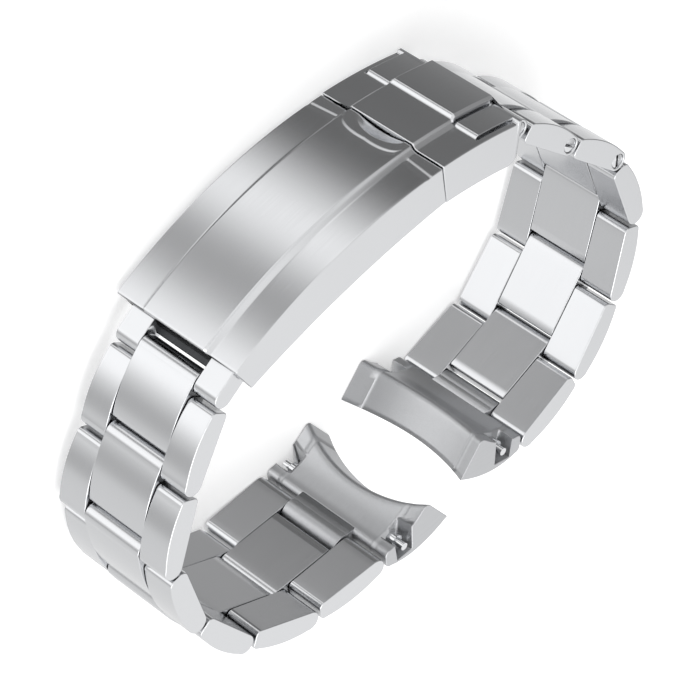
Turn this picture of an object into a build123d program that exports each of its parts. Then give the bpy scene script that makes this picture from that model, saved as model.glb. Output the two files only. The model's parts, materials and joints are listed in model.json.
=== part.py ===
"""Link watch bracelet with a folding clasp, closed in a loop and lying on its side.

Units are millimetres. The hinge axes run along +Z. +X runs along the clasp, towards the
safety catch, and +Y points out of the loop through the clasp cover. The origin is under the
middle of the loop, at the level of the lower edges of the end links.
"""
import os
from math import atan2, cos, degrees, hypot, radians, sin

from build123d import *

os.makedirs("parts", exist_ok=True)

# Overall
lug_width = 20.0
seam_x = 12.507
seam_y = 25.168
mid_z = lug_width / 2
overrun = 3.0

# Link rows
pitch = 10.5
clasp_row_width = 16.2
centre_width = 8.8
side_play = 0.08
row_gap = 0.24
hinge_inset = 1.5
knuckle_radius = 1.3
centre_knuckle_radius = 1.4
arch_height = 0.5
start_fillet = 0.7
centre_end_gap = 0.35
centre_end_chamfer = 0.25
pin_radius = 0.6
pin_clearance = 0.05
fixed_pin_place = 2.7
wall_past_pin = 1.0
screw_head_radius = 0.9
screw_head_play = 0.05
screw_head_length = 1.0
screw_head_sink = 0.1
screw_slot_width = 0.4
screw_slot_depth = 0.4
rows = 6
screw_rows = 2

# Where each chain starts, past the clasp's ends and below its top, and which way each row points
left_hinge_angle = -2.571
left_hinge_drop = 3.261
left_row_angles = (-137.7, -128.0, -92.2, -68.1, -35.9, -10.8)
left_end_angle = -11.0
right_hinge_angle = 13.11
right_hinge_drop = 2.062
right_row_angles = (-56.5, -56.9, -87.9, -123.3, -143.9, -171.6)
right_end_angle = -206.0

# Clasp cover and safety catch, formed round one axis. Angles of the right half are counted from
# the seam, and those of the left half from the cover's left end
clasp_radius = 62.2
clasp_width = 18.76
cover_half_angle = 15.3
seam_gap = 0.15
seam_lean_angle = 10.5
cover_top_thickness = 1.1
cover_wall_thickness = 1.0
cover_depth_left = 4.2
cover_depth_middle = 5.7
cover_depth_seam = 5.0
band_width = 9.4
band_height = 0.7
band_bevel = 0.45
recess_radius = 4.4
recess_ball_radius = 9.0
recess_pocket_radius = 3.4
recess_pocket_depth = 1.15
recess_pocket_share = 0.5
catch_lift = 0.2
catch_end_angle = 11.7
catch_plate_thickness = 0.8
catch_skirt_thickness = 0.65
catch_skirt_depth = 5.35
catch_skirt_corner = 1.3
catch_step_angle = 5.6
catch_groove_angle = 11.0
panel_raise = 0.35
stem_raise = 0.45
catch_bevel = 0.3
catch_rail_width = 0.65
panel_inner_edge = 5.15
groove_width = 0.3
groove_depth = 0.5
arm_thickness = 0.6
arm_play = 0.12
arm_boss_radius = 0.75
arm_start_angle = -3.8
catch_pivot_angle = 10.9
catch_pivot_drop = 1.47
rivet_radius = 0.4
rivet_bite = 0.4

# Folding blades inside the cover
blade_width = 13.0
blade_thickness = 0.9
blade_knuckle_radius = 1.1
blade_side_play = 0.1
upper_blade_drop = 0.5
lower_blade_drop = 3.1
cover_hinge_angle = -2.7
cover_hinge_drop = 1.5
fold_hinge_angle = 5.3
fold_hinge_drop = 2.2
fold_middle_width = 6.4
cover_lug_width = 3.0

# Half links at the clasp
spring_bar_angle = 1.03
spring_bar_drop = 2.97
spring_bar_radius = 0.75
spring_bar_tip_radius = 0.5
spring_bar_tip_bite = 0.6
half_link_play = 0.11
right_pivot_angle = 10.2

# End links
end_link_width = lug_width
case_radius = 20.0
case_lean_angle = 31.0
end_hinge_tube_radius = 1.6
end_shoulder_top = 1.25
end_outer_arch = 0.75
end_tip_reach = 11.9
end_tip_height = 0.75
end_crest_reach = 9.0
end_crest_depth = 4.2
end_valley_reach = 4.2
end_valley_depth = 1.5
end_shoulder_depth = 1.35
bar_reach = 4.65
bar_height = -0.1
case_bar_radius = 0.85
case_bar_end_radius = 0.5
case_bar_end_length = 1.2
notch_start = 3.3
notch_end = 6.0
notch_depth = 2.3
notch_floor = 1.25

# Worked out from the values above
cover_end = -cover_half_angle
catch_end = cover_half_angle + catch_end_angle
catch_step = cover_half_angle + catch_step_angle
catch_groove_end = cover_half_angle + catch_groove_angle
arm_start = cover_half_angle + arm_start_angle
catch_pivot_station = cover_half_angle + catch_pivot_angle
cover_hinge_station = cover_half_angle + cover_hinge_angle
fold_hinge_station = cover_end + fold_hinge_angle
spring_bar_station = cover_end + spring_bar_angle
right_pivot_station = cover_half_angle + right_pivot_angle
left_hinge_station = cover_end + left_hinge_angle
right_hinge_station = cover_half_angle + right_hinge_angle
clasp_centre_x = seam_x - clasp_radius * sin(radians(cover_half_angle))
clasp_centre_y = seam_y - clasp_radius * cos(radians(cover_half_angle))
clasp_axis = Axis((clasp_centre_x, clasp_centre_y, 0), (0, 0, 1))
half_centre = centre_width / 2
half_clasp = clasp_width / 2
half_band = band_width / 2
half_gap = row_gap / 2
taper = (lug_width - clasp_row_width) / 2 / (rows * pitch + knuckle_radius)
degrees_per_mm = degrees(1 / clasp_radius)
inner_wall = half_clasp - cover_wall_thickness
half_link_width = clasp_width - 2 * (catch_skirt_thickness + arm_play + arm_thickness + half_link_play)
cover_inside = clasp_radius - cover_top_thickness
catch_radius = clasp_radius + catch_lift
catch_inside = catch_radius - catch_plate_thickness
catch_low = catch_radius - catch_skirt_depth
band_radius = clasp_radius + band_height
catch_band_radius = catch_radius + band_height
seam_down = (-sin(radians(seam_lean_angle)), -cos(radians(seam_lean_angle)))
end_margin = overrun * degrees_per_mm


def station_point(station, drop):
    """A point at an angle along the clasp, and so far in from its outer face."""
    reach = clasp_radius - drop
    angle = radians(station)
    return (clasp_centre_x + reach * sin(angle), clasp_centre_y + reach * cos(angle))


def radial_plane(station):
    """The plane through the clasp's axis at a station: x is the radius, y is up."""
    angle = radians(station)
    outward = (sin(angle), cos(angle), 0)
    along = (cos(angle), -sin(angle), 0)
    return Plane(origin=(clasp_centre_x, clasp_centre_y, mid_z), x_dir=outward, z_dir=along)


def row_plane(hinge, angle, left):
    """The mid plane of a row: x along the row from its hinge, y out of the loop."""
    turn = radians(angle)
    up = -1 if left else 1
    return Plane(origin=(hinge[0], hinge[1], mid_z), x_dir=(cos(turn), sin(turn), 0), z_dir=(0, 0, up))


def plan_plane(seat):
    """The plane through a row's hinge that looks out of the loop: x along the row, y across it."""
    return Plane(origin=seat.origin, x_dir=seat.x_dir, z_dir=seat.y_dir)


def half_width_at(row, reach):
    """Half the bracelet's width at a reach past the hinge that starts a row."""
    return clasp_row_width / 2 + taper * (row * pitch + reach)


def keep(piece, name):
    """Label a finished piece and write it."""
    piece.label = name
    export_step(piece, f"parts/{name}.step")


def pin(seat, x, y, radius, low, high):
    """A round pin across the row, from low to high along the seat's own z."""
    with BuildPart() as body:
        with BuildSketch(seat.offset(low)):
            with Locations((x, y)):
                Circle(radius)
        extrude(amount=high - low)
    return body.part


def screw(seat, x, low, high):
    """A slotted pin screw: a shank, and a cheese head just below the side face."""
    head_start = high - screw_head_length
    with BuildPart() as body:
        with BuildSketch(seat.offset(low)):
            with Locations((x, 0)):
                Circle(pin_radius)
        extrude(amount=head_start - low)
        with BuildSketch(seat.offset(head_start)):
            with Locations((x, 0)):
                Circle(screw_head_radius)
        extrude(amount=screw_head_length)
        with BuildSketch(seat.offset(high - screw_slot_depth)):
            with Locations((x, 0)):
                Rectangle(2 * screw_head_radius + overrun, screw_slot_width)
        extrude(amount=screw_slot_depth, mode=Mode.SUBTRACT)
    return body.part


def side_profile(start, end_hinge):
    """Outline of a side piece: flat inside, arched outside, a square start and a round far end."""
    top = knuckle_radius + arch_height
    with BuildLine() as outline:
        inner = Line((end_hinge, -knuckle_radius), (start + start_fillet, -knuckle_radius))
        low_corner = RadiusArc(inner @ 1, (start, -knuckle_radius + start_fillet), start_fillet)
        face = Line(low_corner @ 1, (start, knuckle_radius - start_fillet))
        high_corner = RadiusArc(face @ 1, (start + start_fillet, knuckle_radius), start_fillet)
        arch = ThreePointArc(high_corner @ 1, ((start + end_hinge) / 2, top), (end_hinge, knuckle_radius))
        ThreePointArc(arch @ 1, (end_hinge + knuckle_radius, 0), inner @ 0)
    make_face(outline.edges())


def centre_profile(end):
    """Outline of a centre piece: a knuckle round the hinge it hangs on, and a square far end."""
    top = knuckle_radius + arch_height
    low = -knuckle_radius
    cut = centre_end_chamfer
    rise = centre_knuckle_radius
    with BuildLine() as outline:
        inner = Line((end - cut, low), (0, -rise))
        nose = ThreePointArc(inner @ 1, (-rise, 0), (0, rise))
        arch = ThreePointArc(nose @ 1, ((rise + end) / 2, top), (end - cut, knuckle_radius))
        Polyline(arch @ 1, (end, knuckle_radius - cut), (end, low + cut), inner @ 0)
    make_face(outline.edges())


def taper_cut(seat, row, start, end):
    """Keep what lies between the two slanted outer faces of a row."""
    near = half_width_at(row, start)
    far = half_width_at(row, end)
    with BuildSketch(plan_plane(seat)) as plan:
        with BuildLine():
            Polyline((start, -near), (end, -far), (end, far), (start, near), close=True)
        make_face()
    extrude(plan.sketch, amount=overrun * 2, both=True, mode=Mode.INTERSECT)


def across(seat, x, y, radius, low, high):
    """Cut a round hole across the row from low to high."""
    with BuildSketch(seat.offset(low)) as round_hole:
        with Locations((x, y)):
            Circle(radius)
    extrude(round_hole.sketch, amount=high - low, mode=Mode.SUBTRACT)


def side_pieces(seat, row, has_screw):
    """The two side pieces of a row, with holes for the fixed pin and for the next hinge."""
    start = hinge_inset + half_gap
    end_hinge = pitch
    tip = end_hinge + knuckle_radius
    reach = half_width_at(row, tip)
    fixed = hinge_inset + fixed_pin_place
    with BuildPart() as body:
        for low, high in ((half_centre + side_play, reach), (-reach, -half_centre - side_play)):
            with BuildSketch(seat.offset(low)):
                side_profile(start, end_hinge)
            extrude(amount=high - low)
        taper_cut(seat, row, start, tip)
        at_fixed = half_width_at(row, fixed) - wall_past_pin
        across(seat, fixed, 0, pin_radius, -at_fixed, at_fixed)
        at_hinge = half_width_at(row, end_hinge) - wall_past_pin
        across(seat, end_hinge, 0, pin_radius, -at_hinge, at_hinge)
        if has_screw:
            head_start = at_hinge + wall_past_pin - screw_head_sink - screw_head_length
            across(seat, end_hinge, 0, screw_head_radius + screw_head_play, head_start, lug_width)
    return body.part


def centre_piece(seat, next_radius):
    """The centre piece of a row. Its knuckle turns between the side pieces of the row before."""
    end = pitch - next_radius - centre_end_gap
    with BuildPart() as body:
        with BuildSketch(seat.offset(-half_centre)):
            centre_profile(end)
        extrude(amount=centre_width)
        across(seat, 0, 0, pin_radius + pin_clearance, -half_centre, half_centre)
        across(seat, hinge_inset + fixed_pin_place, 0, pin_radius, -half_centre, half_centre)
    return body.part


def hinge_fastener(seat, row, reach, has_screw):
    """The screw or the plain pin that carries the next row."""
    depth = half_width_at(row, reach) - wall_past_pin
    if has_screw:
        return screw(seat, reach, -depth, depth + wall_past_pin - screw_head_sink)
    return pin(seat, reach, 0, pin_radius, -depth, depth)


def half_link(seat, reach, bore, bore_half, with_tube):
    """Two side plates from the clasp's pivot, at x = 0, to the first hinge of the chain."""
    half = half_link_width / 2
    inner = half_centre + side_play
    depth = half - wall_past_pin
    with BuildPart() as body:
        for low, high in ((inner, half), (-half, -inner)):
            with BuildSketch(seat.offset(low)):
                with Locations((reach / 2, 0)):
                    SlotCenterToCenter(reach, 2 * knuckle_radius)
            extrude(amount=high - low)
        if with_tube:
            with BuildSketch(seat.offset(-inner)):
                Circle(knuckle_radius)
            extrude(amount=2 * inner)
        across(seat, 0, 0, bore, -bore_half, bore_half)
        across(seat, reach, 0, pin_radius, -depth, depth)
        head_start = half - screw_head_sink - screw_head_length
        across(seat, reach, 0, screw_head_radius + screw_head_play, head_start, lug_width)
    return body.part


def end_link(seat):
    """An end link: a hinge tube, a shoulder, a humped inner face and an arc that fits the case."""
    start = hinge_inset + half_gap
    half = end_link_width / 2
    tube_half = half_centre
    bar = (bar_reach, bar_height)
    tip = (end_tip_reach, end_tip_height)
    crest = (end_crest_reach, -end_crest_depth)
    valley = (end_valley_reach, -end_valley_depth)
    shoulder = (start + start_fillet, -end_shoulder_depth)
    outer_mid = ((start + end_tip_reach) / 2, end_shoulder_top + end_outer_arch)
    lean = radians(case_lean_angle)
    case_dir = (sin(lean), cos(lean))
    with BuildPart() as body:
        with BuildSketch(seat.offset(-half)):
            with BuildLine():
                floor = ThreePointArc((start + start_fillet, end_shoulder_top), outer_mid, tip)
                wall = Line(floor @ 1, crest)
                hump = Spline(wall @ 1, valley, shoulder, tangents=((-1, 1), (-1, 0)))
                inner_corner = RadiusArc(hump @ 1, (start, -end_shoulder_depth + start_fillet), start_fillet)
                face = Line(inner_corner @ 1, (start, end_shoulder_top - start_fillet))
                RadiusArc(face @ 1, floor @ 0, start_fillet)
            make_face()
        extrude(amount=end_link_width)
        # The tab between the last side pieces, rolled round the hinge pin
        with BuildSketch(seat.offset(-tube_half)):
            Circle(end_hinge_tube_radius)
            with BuildLine():
                Polyline((0, 0), (0, end_shoulder_top), (start + start_fillet, end_shoulder_top),
                         (start + start_fillet, -end_shoulder_depth), (0, -end_shoulder_depth), close=True)
            make_face()
        extrude(amount=centre_width)
        # The case's round flank, leaning as the watch sits
        arc_plane = Plane(
            origin=seat.from_local_coords((end_tip_reach, end_tip_height, 0)),
            x_dir=seat.z_dir,
            z_dir=seat.from_local_coords((case_dir[0], case_dir[1], 0)) - seat.origin,
        )
        sagitta = case_radius - (case_radius ** 2 - half ** 2) ** 0.5
        away = 1 if arc_plane.y_dir.dot(seat.x_dir) > 0 else -1
        with BuildSketch(arc_plane.offset(-lug_width)):
            with Locations((0, away * (case_radius - sagitta))):
                Circle(case_radius)
        extrude(amount=2 * lug_width, mode=Mode.SUBTRACT)
        # Hinge bore and the bore for the bar that holds the end link between the lugs
        across(seat, 0, 0, pin_radius + pin_clearance, -tube_half, tube_half)
        across(seat, bar[0], bar[1], case_bar_radius, -half, half)
        # A notch at each end lets a tool reach the bar
        for low in (-half, half - notch_depth):
            with BuildSketch(seat.offset(low)):
                with Locations(((notch_start + notch_end) / 2, notch_floor - lug_width / 2)):
                    Rectangle(notch_end - notch_start, lug_width)
            extrude(amount=notch_depth, mode=Mode.SUBTRACT)
    return body.part


def case_bar(seat):
    """The bar through an end link, with its thin sprung ends pressed in level with the sides."""
    half = end_link_width / 2
    shoulder = half - case_bar_end_length
    with BuildPart() as body:
        for radius, reach in ((case_bar_radius, shoulder), (case_bar_end_radius, half)):
            with BuildSketch(seat.offset(-reach)):
                with Locations((bar_reach, bar_height)):
                    Circle(radius)
            extrude(amount=2 * reach)
    return body.part


def shell_section(top, inside, bottom, half, wall, raised):
    """Cross-section of a formed channel: a plate with a raised middle band, and a wall down each edge."""
    rim = half_band + band_bevel
    inner = half - wall
    band = ((top, -rim), (raised, -half_band), (raised, half_band), (top, rim))
    with BuildLine() as outline:
        Polyline(
            (bottom, -half), (top, -half), *band, (top, half), (bottom, half),
            (bottom, inner), (inside, inner), (inside, -inner), (bottom, -inner), close=True,
        )
    make_face(outline.edges())


def ring_block(station, span, low_radius, high_radius, low_z, high_z, mode=Mode.ADD):
    """A block of the clasp's own curve, between two radii and two heights from the mid plane."""
    with BuildSketch(radial_plane(station)) as section:
        with Locations(((low_radius + high_radius) / 2, (low_z + high_z) / 2)):
            Rectangle(high_radius - low_radius, high_z - low_z)
    revolve(section.sketch, axis=clasp_axis, revolution_arc=span, mode=mode)


def raised_block(start, end, base, top, low_z, high_z):
    """A block standing on the clasp's curve, with a sloping front edge."""
    slope = catch_bevel * degrees_per_mm
    middle = (start + end) / 2
    with BuildSketch(Plane.XY.offset(mid_z + low_z)) as outline:
        with BuildLine():
            rise = Polyline(
                station_point(start, clasp_radius - base),
                station_point(start, clasp_radius - top + catch_bevel),
                station_point(start + slope, clasp_radius - top),
            )
            roof = ThreePointArc(
                rise @ 1,
                station_point(middle, clasp_radius - top),
                station_point(end, clasp_radius - top),
            )
            back = Line(roof @ 1, station_point(end, clasp_radius - base))
            ThreePointArc(back @ 1, station_point(middle, clasp_radius - base), rise @ 0)
        make_face()
    extrude(outline.sketch, amount=high_z - low_z)


def seam_cut(shift, reach):
    """Cut off what lies past the seam, whose plane leans back under the cover."""
    top = (seam_x + shift - overrun * seam_down[0], seam_y - overrun * seam_down[1])
    low = (seam_x + shift + lug_width * seam_down[0], seam_y + lug_width * seam_down[1])
    with BuildSketch(Plane.XY.offset(mid_z - half_clasp)) as waste:
        with BuildLine():
            Polyline(top, low, (low[0] + reach, low[1]), (top[0] + reach, top[1]), close=True)
        make_face()
    extrude(waste.sketch, amount=clasp_width, mode=Mode.SUBTRACT)


def at_level(point, radius, low_z, high_z, mode=Mode.ADD):
    """A round boss or hole along +Z at a point of the clasp."""
    with BuildSketch(Plane.XY.offset(mid_z + low_z)) as disc:
        with Locations(point):
            Circle(radius)
    extrude(disc.sketch, amount=high_z - low_z, mode=mode)


cover_hinge = station_point(cover_hinge_station, cover_top_thickness + cover_hinge_drop)
fold_hinge = station_point(fold_hinge_station, cover_top_thickness + fold_hinge_drop)
lower_mid_drop = cover_top_thickness + lower_blade_drop + blade_thickness / 2
right_pivot = station_point(right_pivot_station, lower_mid_drop)
left_pivot = station_point(spring_bar_station, spring_bar_drop)
catch_pivot = station_point(catch_pivot_station, catch_pivot_drop)
half_blade = blade_width / 2
half_fold = fold_middle_width / 2
lug_inner = half_centre - blade_side_play
lug_outer = lug_inner + cover_lug_width
arm_outer = half_clasp - catch_skirt_thickness - arm_play
arm_inner = arm_outer - arm_thickness

# Clasp cover
cover_span = 2 * cover_half_angle + end_margin
with BuildPart() as clasp_cover:
    with BuildSketch(radial_plane(cover_half_angle + end_margin)):
        lowest = clasp_radius - cover_depth_middle - overrun
        shell_section(clasp_radius, cover_inside, lowest, half_clasp, cover_wall_thickness, band_radius)
    revolve(axis=clasp_axis, revolution_arc=cover_span)
    with BuildSketch(Plane.XY.offset(mid_z - half_clasp)):
        with BuildLine():
            left_low = station_point(-cover_half_angle - end_margin, cover_depth_left)
            middle_low = station_point(0, cover_depth_middle)
            right_low = (seam_x + cover_depth_seam * seam_down[0], seam_y + cover_depth_seam * seam_down[1])
            low_edge = ThreePointArc(left_low, middle_low, right_low)
            far_x = seam_x + lug_width
            deep_y = seam_y - lug_width
            Polyline(low_edge @ 1, (far_x, right_low[1]), (far_x, deep_y), (left_low[0], deep_y), low_edge @ 0)
        make_face()
    extrude(amount=clasp_width, mode=Mode.SUBTRACT)
    seam_cut(0, lug_width)
    # Finger recess in the raised band, next to the catch
    ball_lift = (recess_ball_radius ** 2 - recess_radius ** 2) ** 0.5
    ball_x, ball_y = station_point(cover_half_angle, -band_height - ball_lift)
    with Locations((ball_x, ball_y, mid_z)):
        Sphere(recess_ball_radius, mode=Mode.SUBTRACT)
    pocket_plane = Plane(
        origin=(*station_point(cover_half_angle, recess_pocket_depth - band_height), mid_z),
        x_dir=(0, 0, 1),
        z_dir=radial_plane(cover_half_angle).x_dir,
    )
    with BuildSketch(pocket_plane):
        with Locations((0, 0)):
            Ellipse(recess_pocket_radius, recess_pocket_share * recess_pocket_radius)
    extrude(amount=band_height + overrun, mode=Mode.SUBTRACT)
    # Lugs for the upper blade's hinge
    lug_span = 2 * blade_knuckle_radius * degrees_per_mm
    for low, high in ((lug_inner + blade_side_play, lug_outer), (-lug_outer, -lug_inner - blade_side_play)):
        hinge_radius = cover_inside - cover_hinge_drop
        lug_top = cover_inside + cover_top_thickness / 2
        ring_block(cover_hinge_station + lug_span / 2, lug_span, hinge_radius, lug_top, low, high)
        at_level(cover_hinge, blade_knuckle_radius, low, high)
    at_level(cover_hinge, pin_radius, -lug_outer, lug_outer, Mode.SUBTRACT)
    # Arms that reach back inside the catch's skirts
    arm_top = catch_inside - arm_play
    arm_low = clasp_radius - catch_pivot_drop - arm_boss_radius
    for low, high in ((arm_inner, arm_outer), (-arm_outer, -arm_inner)):
        ring_block(catch_pivot_station, catch_pivot_station - arm_start, arm_low, arm_top, low, high)
        at_level(catch_pivot, arm_boss_radius, low, high)
    at_level(catch_pivot, rivet_radius, -arm_outer, arm_outer, Mode.SUBTRACT)
    # Blind holes for the spring bar of the left half link
    tip_hole = spring_bar_tip_radius + pin_clearance
    tip_reach = inner_wall + spring_bar_tip_bite + pin_clearance
    at_level(left_pivot, tip_hole, -tip_reach, tip_reach, Mode.SUBTRACT)
keep(clasp_cover.part, "clasp_cover")

# Safety catch
catch_span = catch_end - cover_half_angle + end_margin
panel_half = half_clasp - catch_rail_width - groove_width
panel_radius = catch_radius + panel_raise
stem_radius = catch_band_radius + stem_raise
stem_half = panel_inner_edge - groove_width
with BuildPart() as safety_catch:
    with BuildSketch(radial_plane(catch_end)):
        shell_section(catch_radius, catch_inside, catch_low, half_clasp, catch_skirt_thickness,
                      catch_band_radius)
    revolve(axis=clasp_axis, revolution_arc=catch_span)
    # The back part stands higher: a panel each side of a stem, and low rails outside the panels
    raised_block(catch_step, catch_end, catch_inside, panel_radius, -panel_half, panel_half)
    raised_block(catch_step, catch_end, catch_inside, stem_radius, -stem_half, stem_half)
    raised_block(catch_groove_end, catch_end, catch_inside, panel_radius, -half_clasp, half_clasp)
    groove_span = catch_groove_end - catch_step + end_margin
    rail_inner = half_clasp - catch_rail_width
    for near, far, floor in (
        (stem_half, panel_inner_edge, panel_radius - groove_depth),
        (panel_half, rail_inner, catch_radius - groove_depth),
    ):
        for low, high in ((near, far), (-far, -near)):
            ring_block(catch_groove_end, groove_span, floor, stem_radius + overrun, low, high, Mode.SUBTRACT)
    back_inside = panel_radius - catch_plate_thickness
    ring_block(catch_end, catch_end - catch_groove_end, catch_inside - catch_bevel, back_inside,
               -arm_inner, arm_inner, Mode.SUBTRACT)
    seam_cut(seam_gap, -lug_width)
    # The skirts' lower back corners are rounded off
    back = radians(catch_end)
    corner_plane = Plane(
        origin=(*station_point(catch_end, clasp_radius - catch_low), mid_z - half_clasp),
        x_dir=(sin(back), cos(back), 0),
        z_dir=(0, 0, 1),
    )
    with BuildSketch(corner_plane):
        Rectangle(catch_skirt_corner, catch_skirt_corner, align=(Align.MIN, Align.MIN))
        with Locations((catch_skirt_corner, catch_skirt_corner)):
            Circle(catch_skirt_corner, mode=Mode.SUBTRACT)
    extrude(amount=clasp_width, mode=Mode.SUBTRACT)
    reach = arm_outer + arm_play + rivet_bite
    at_level(catch_pivot, rivet_radius + pin_clearance, -reach, reach, Mode.SUBTRACT)
keep(safety_catch.part, "safety_catch")

# Rivets on which the catch turns
with BuildPart() as catch_rivets:
    tip = arm_outer + arm_play + rivet_bite - pin_clearance
    at_level(catch_pivot, rivet_radius, arm_inner, tip)
    at_level(catch_pivot, rivet_radius, -tip, -arm_inner)
keep(catch_rivets.part, "catch_rivets")

# Upper blade, folded back under the cover
upper_out = cover_inside - upper_blade_drop
upper_in = upper_out - blade_thickness
with BuildPart() as upper_blade:
    inset = (blade_knuckle_radius + blade_side_play) * degrees_per_mm
    body_start = cover_hinge_station - inset
    body_span = cover_hinge_station - fold_hinge_station - 2 * inset
    ring_block(body_start, body_span, upper_in, upper_out, -half_blade, half_blade)
    ring_block(cover_hinge_station, 2 * inset, upper_in, upper_out, -lug_inner, lug_inner)
    ring_block(fold_hinge_station + 2 * inset, 2 * inset, upper_in, upper_out, -half_fold, half_fold)
    at_level(cover_hinge, blade_knuckle_radius, -lug_inner, lug_inner)
    at_level(fold_hinge, blade_knuckle_radius, -half_fold, half_fold)
    at_level(cover_hinge, pin_radius + pin_clearance, -lug_inner, lug_inner, Mode.SUBTRACT)
    at_level(fold_hinge, pin_radius, -half_fold, half_fold, Mode.SUBTRACT)
    fold_room = blade_knuckle_radius + blade_side_play
    for low, high in ((half_fold, half_blade + overrun), (-half_blade - overrun, -half_fold)):
        at_level(fold_hinge, fold_room, low, high, Mode.SUBTRACT)
keep(upper_blade.part, "clasp_blade_upper")

# Lower blade, from the fold to the right half link
lower_out = cover_inside - lower_blade_drop
lower_in = lower_out - blade_thickness
with BuildPart() as lower_blade:
    ring_block(right_pivot_station, right_pivot_station - fold_hinge_station, lower_in, lower_out,
               -half_centre + blade_side_play, half_centre - blade_side_play)
    wide_span = right_pivot_station - fold_hinge_station - 3 * inset
    ring_block(right_pivot_station - 3 * inset, wide_span, lower_in, lower_out, -half_blade, half_blade)
    fold_inner = half_fold + blade_side_play
    for low, high in ((fold_inner, half_blade), (-half_blade, -fold_inner)):
        at_level(fold_hinge, blade_knuckle_radius, low, high)
    knuckle_half = half_centre - blade_side_play
    at_level(right_pivot, blade_knuckle_radius, -knuckle_half, knuckle_half)
    at_level(fold_hinge, fold_room, -fold_inner, fold_inner, Mode.SUBTRACT)
    at_level(fold_hinge, pin_radius + pin_clearance, -half_blade, half_blade, Mode.SUBTRACT)
    at_level(right_pivot, pin_radius + pin_clearance, -knuckle_half, knuckle_half, Mode.SUBTRACT)
keep(lower_blade.part, "clasp_blade_lower")

# Hinge pins of the blades
with BuildPart() as cover_hinge_pin:
    at_level(cover_hinge, pin_radius, -lug_outer, lug_outer)
keep(cover_hinge_pin.part, "cover_hinge_pin")

with BuildPart() as fold_hinge_pin:
    at_level(fold_hinge, pin_radius, -half_blade, half_blade)
keep(fold_hinge_pin.part, "fold_hinge_pin")

# The two chains
chains = (
    ("left", left_hinge_station, left_hinge_drop, left_row_angles, left_end_angle, left_pivot),
    ("right", right_hinge_station, right_hinge_drop, right_row_angles, right_end_angle, right_pivot),
)
for side, station, drop, angles, end_angle, pivot in chains:
    left = side == "left"
    hinge = station_point(station, drop)
    half_angle = degrees(atan2(hinge[1] - pivot[1], hinge[0] - pivot[0]))
    half_reach = hypot(hinge[0] - pivot[0], hinge[1] - pivot[1])
    half_seat = row_plane(pivot, half_angle, left)
    half_depth = half_link_width / 2 - wall_past_pin
    bore = spring_bar_radius + pin_clearance if left else pin_radius
    bore_half = half_link_width / 2 if left else half_depth
    keep(half_link(half_seat, half_reach, bore, bore_half, left), f"{side}_half_link")
    half_head = half_link_width / 2 - screw_head_sink
    keep(screw(half_seat, half_reach, -half_depth, half_head), f"{side}_half_link_screw")
    if left:
        with BuildPart() as spring_bar:
            bar_end = half_link_width / 2
            at_level(pivot, spring_bar_radius, -bar_end, bar_end)
            at_level(pivot, spring_bar_tip_radius, -inner_wall - spring_bar_tip_bite,
                     inner_wall + spring_bar_tip_bite)
        keep(spring_bar.part, "clasp_spring_bar")
    else:
        keep(pin(half_seat, 0, 0, pin_radius, -half_depth, half_depth), "right_half_link_pin")
    print(side, "half link", [round(v, 4) for v in pivot], round(half_angle, 3), round(half_reach, 3))
    for row, angle in enumerate(angles):
        number = row + 1
        has_screw = row < screw_rows
        seat = row_plane(hinge, angle, left)
        next_radius = end_hinge_tube_radius if number == rows else centre_knuckle_radius
        keep(centre_piece(seat, next_radius), f"{side}_link_{number}_centre")
        keep(side_pieces(seat, row, has_screw), f"{side}_link_{number}_sides")
        fixed = hinge_inset + fixed_pin_place
        fixed_depth = half_width_at(row, fixed) - wall_past_pin
        fixed_pin = pin(seat, fixed, 0, pin_radius, -fixed_depth, fixed_depth)
        fastener = hinge_fastener(seat, row, pitch, has_screw)
        if has_screw:
            keep(fixed_pin, f"{side}_link_{number}_pin")
            keep(fastener, f"{side}_link_{number}_screw")
        else:
            keep(Compound([*fixed_pin.solids(), *fastener.solids()]), f"{side}_link_{number}_pins")
        print(side, number, [round(v, 4) for v in hinge], angle)
        turn = radians(angle)
        hinge = (hinge[0] + pitch * cos(turn), hinge[1] + pitch * sin(turn))
    seat = row_plane(hinge, end_angle, left)
    keep(end_link(seat), f"{side}_end_link")
    keep(case_bar(seat), f"{side}_case_bar")
    bar = seat.from_local_coords((bar_reach, bar_height, 0))
    print(side, "end", [round(v, 4) for v in hinge], end_angle)
    print(side, "case bar", [round(bar.X, 4), round(bar.Y, 4)])
for name, point in (("catch", catch_pivot), ("cover hinge", cover_hinge), ("fold hinge", fold_hinge)):
    print(name, [round(v, 4) for v in point])
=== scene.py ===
"""Looks of a steel link watch bracelet with a folding clasp, closed in a loop and lying on its side.

Each visible piece is a surface worked out with numpy in millimetres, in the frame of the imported
model, where Z is up, X runs along the clasp towards the safety catch and Y points out of the loop
through the clasp cover. Pins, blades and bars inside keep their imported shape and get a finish.
"""

import json

import bmesh
import bpy
import numpy as np
from bpy.props import FloatProperty, FloatVectorProperty, PointerProperty
from mathutils import Euler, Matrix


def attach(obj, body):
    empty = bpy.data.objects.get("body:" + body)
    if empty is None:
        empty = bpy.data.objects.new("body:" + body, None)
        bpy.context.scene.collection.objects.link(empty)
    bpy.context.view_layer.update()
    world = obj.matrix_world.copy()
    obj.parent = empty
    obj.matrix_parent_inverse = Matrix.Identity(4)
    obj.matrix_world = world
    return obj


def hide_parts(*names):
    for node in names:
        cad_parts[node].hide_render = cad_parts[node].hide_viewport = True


bl_info = {
    "name": "Link watch bracelet",
    "version": (1, 0, 0),
    "blender": (4, 5, 0),
    "location": "3D View > Sidebar > Bracelet",
    "description": "Builds the steel links, end links, clasp cover and safety catch, and their finishes",
    "category": "Add Mesh",
}

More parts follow.
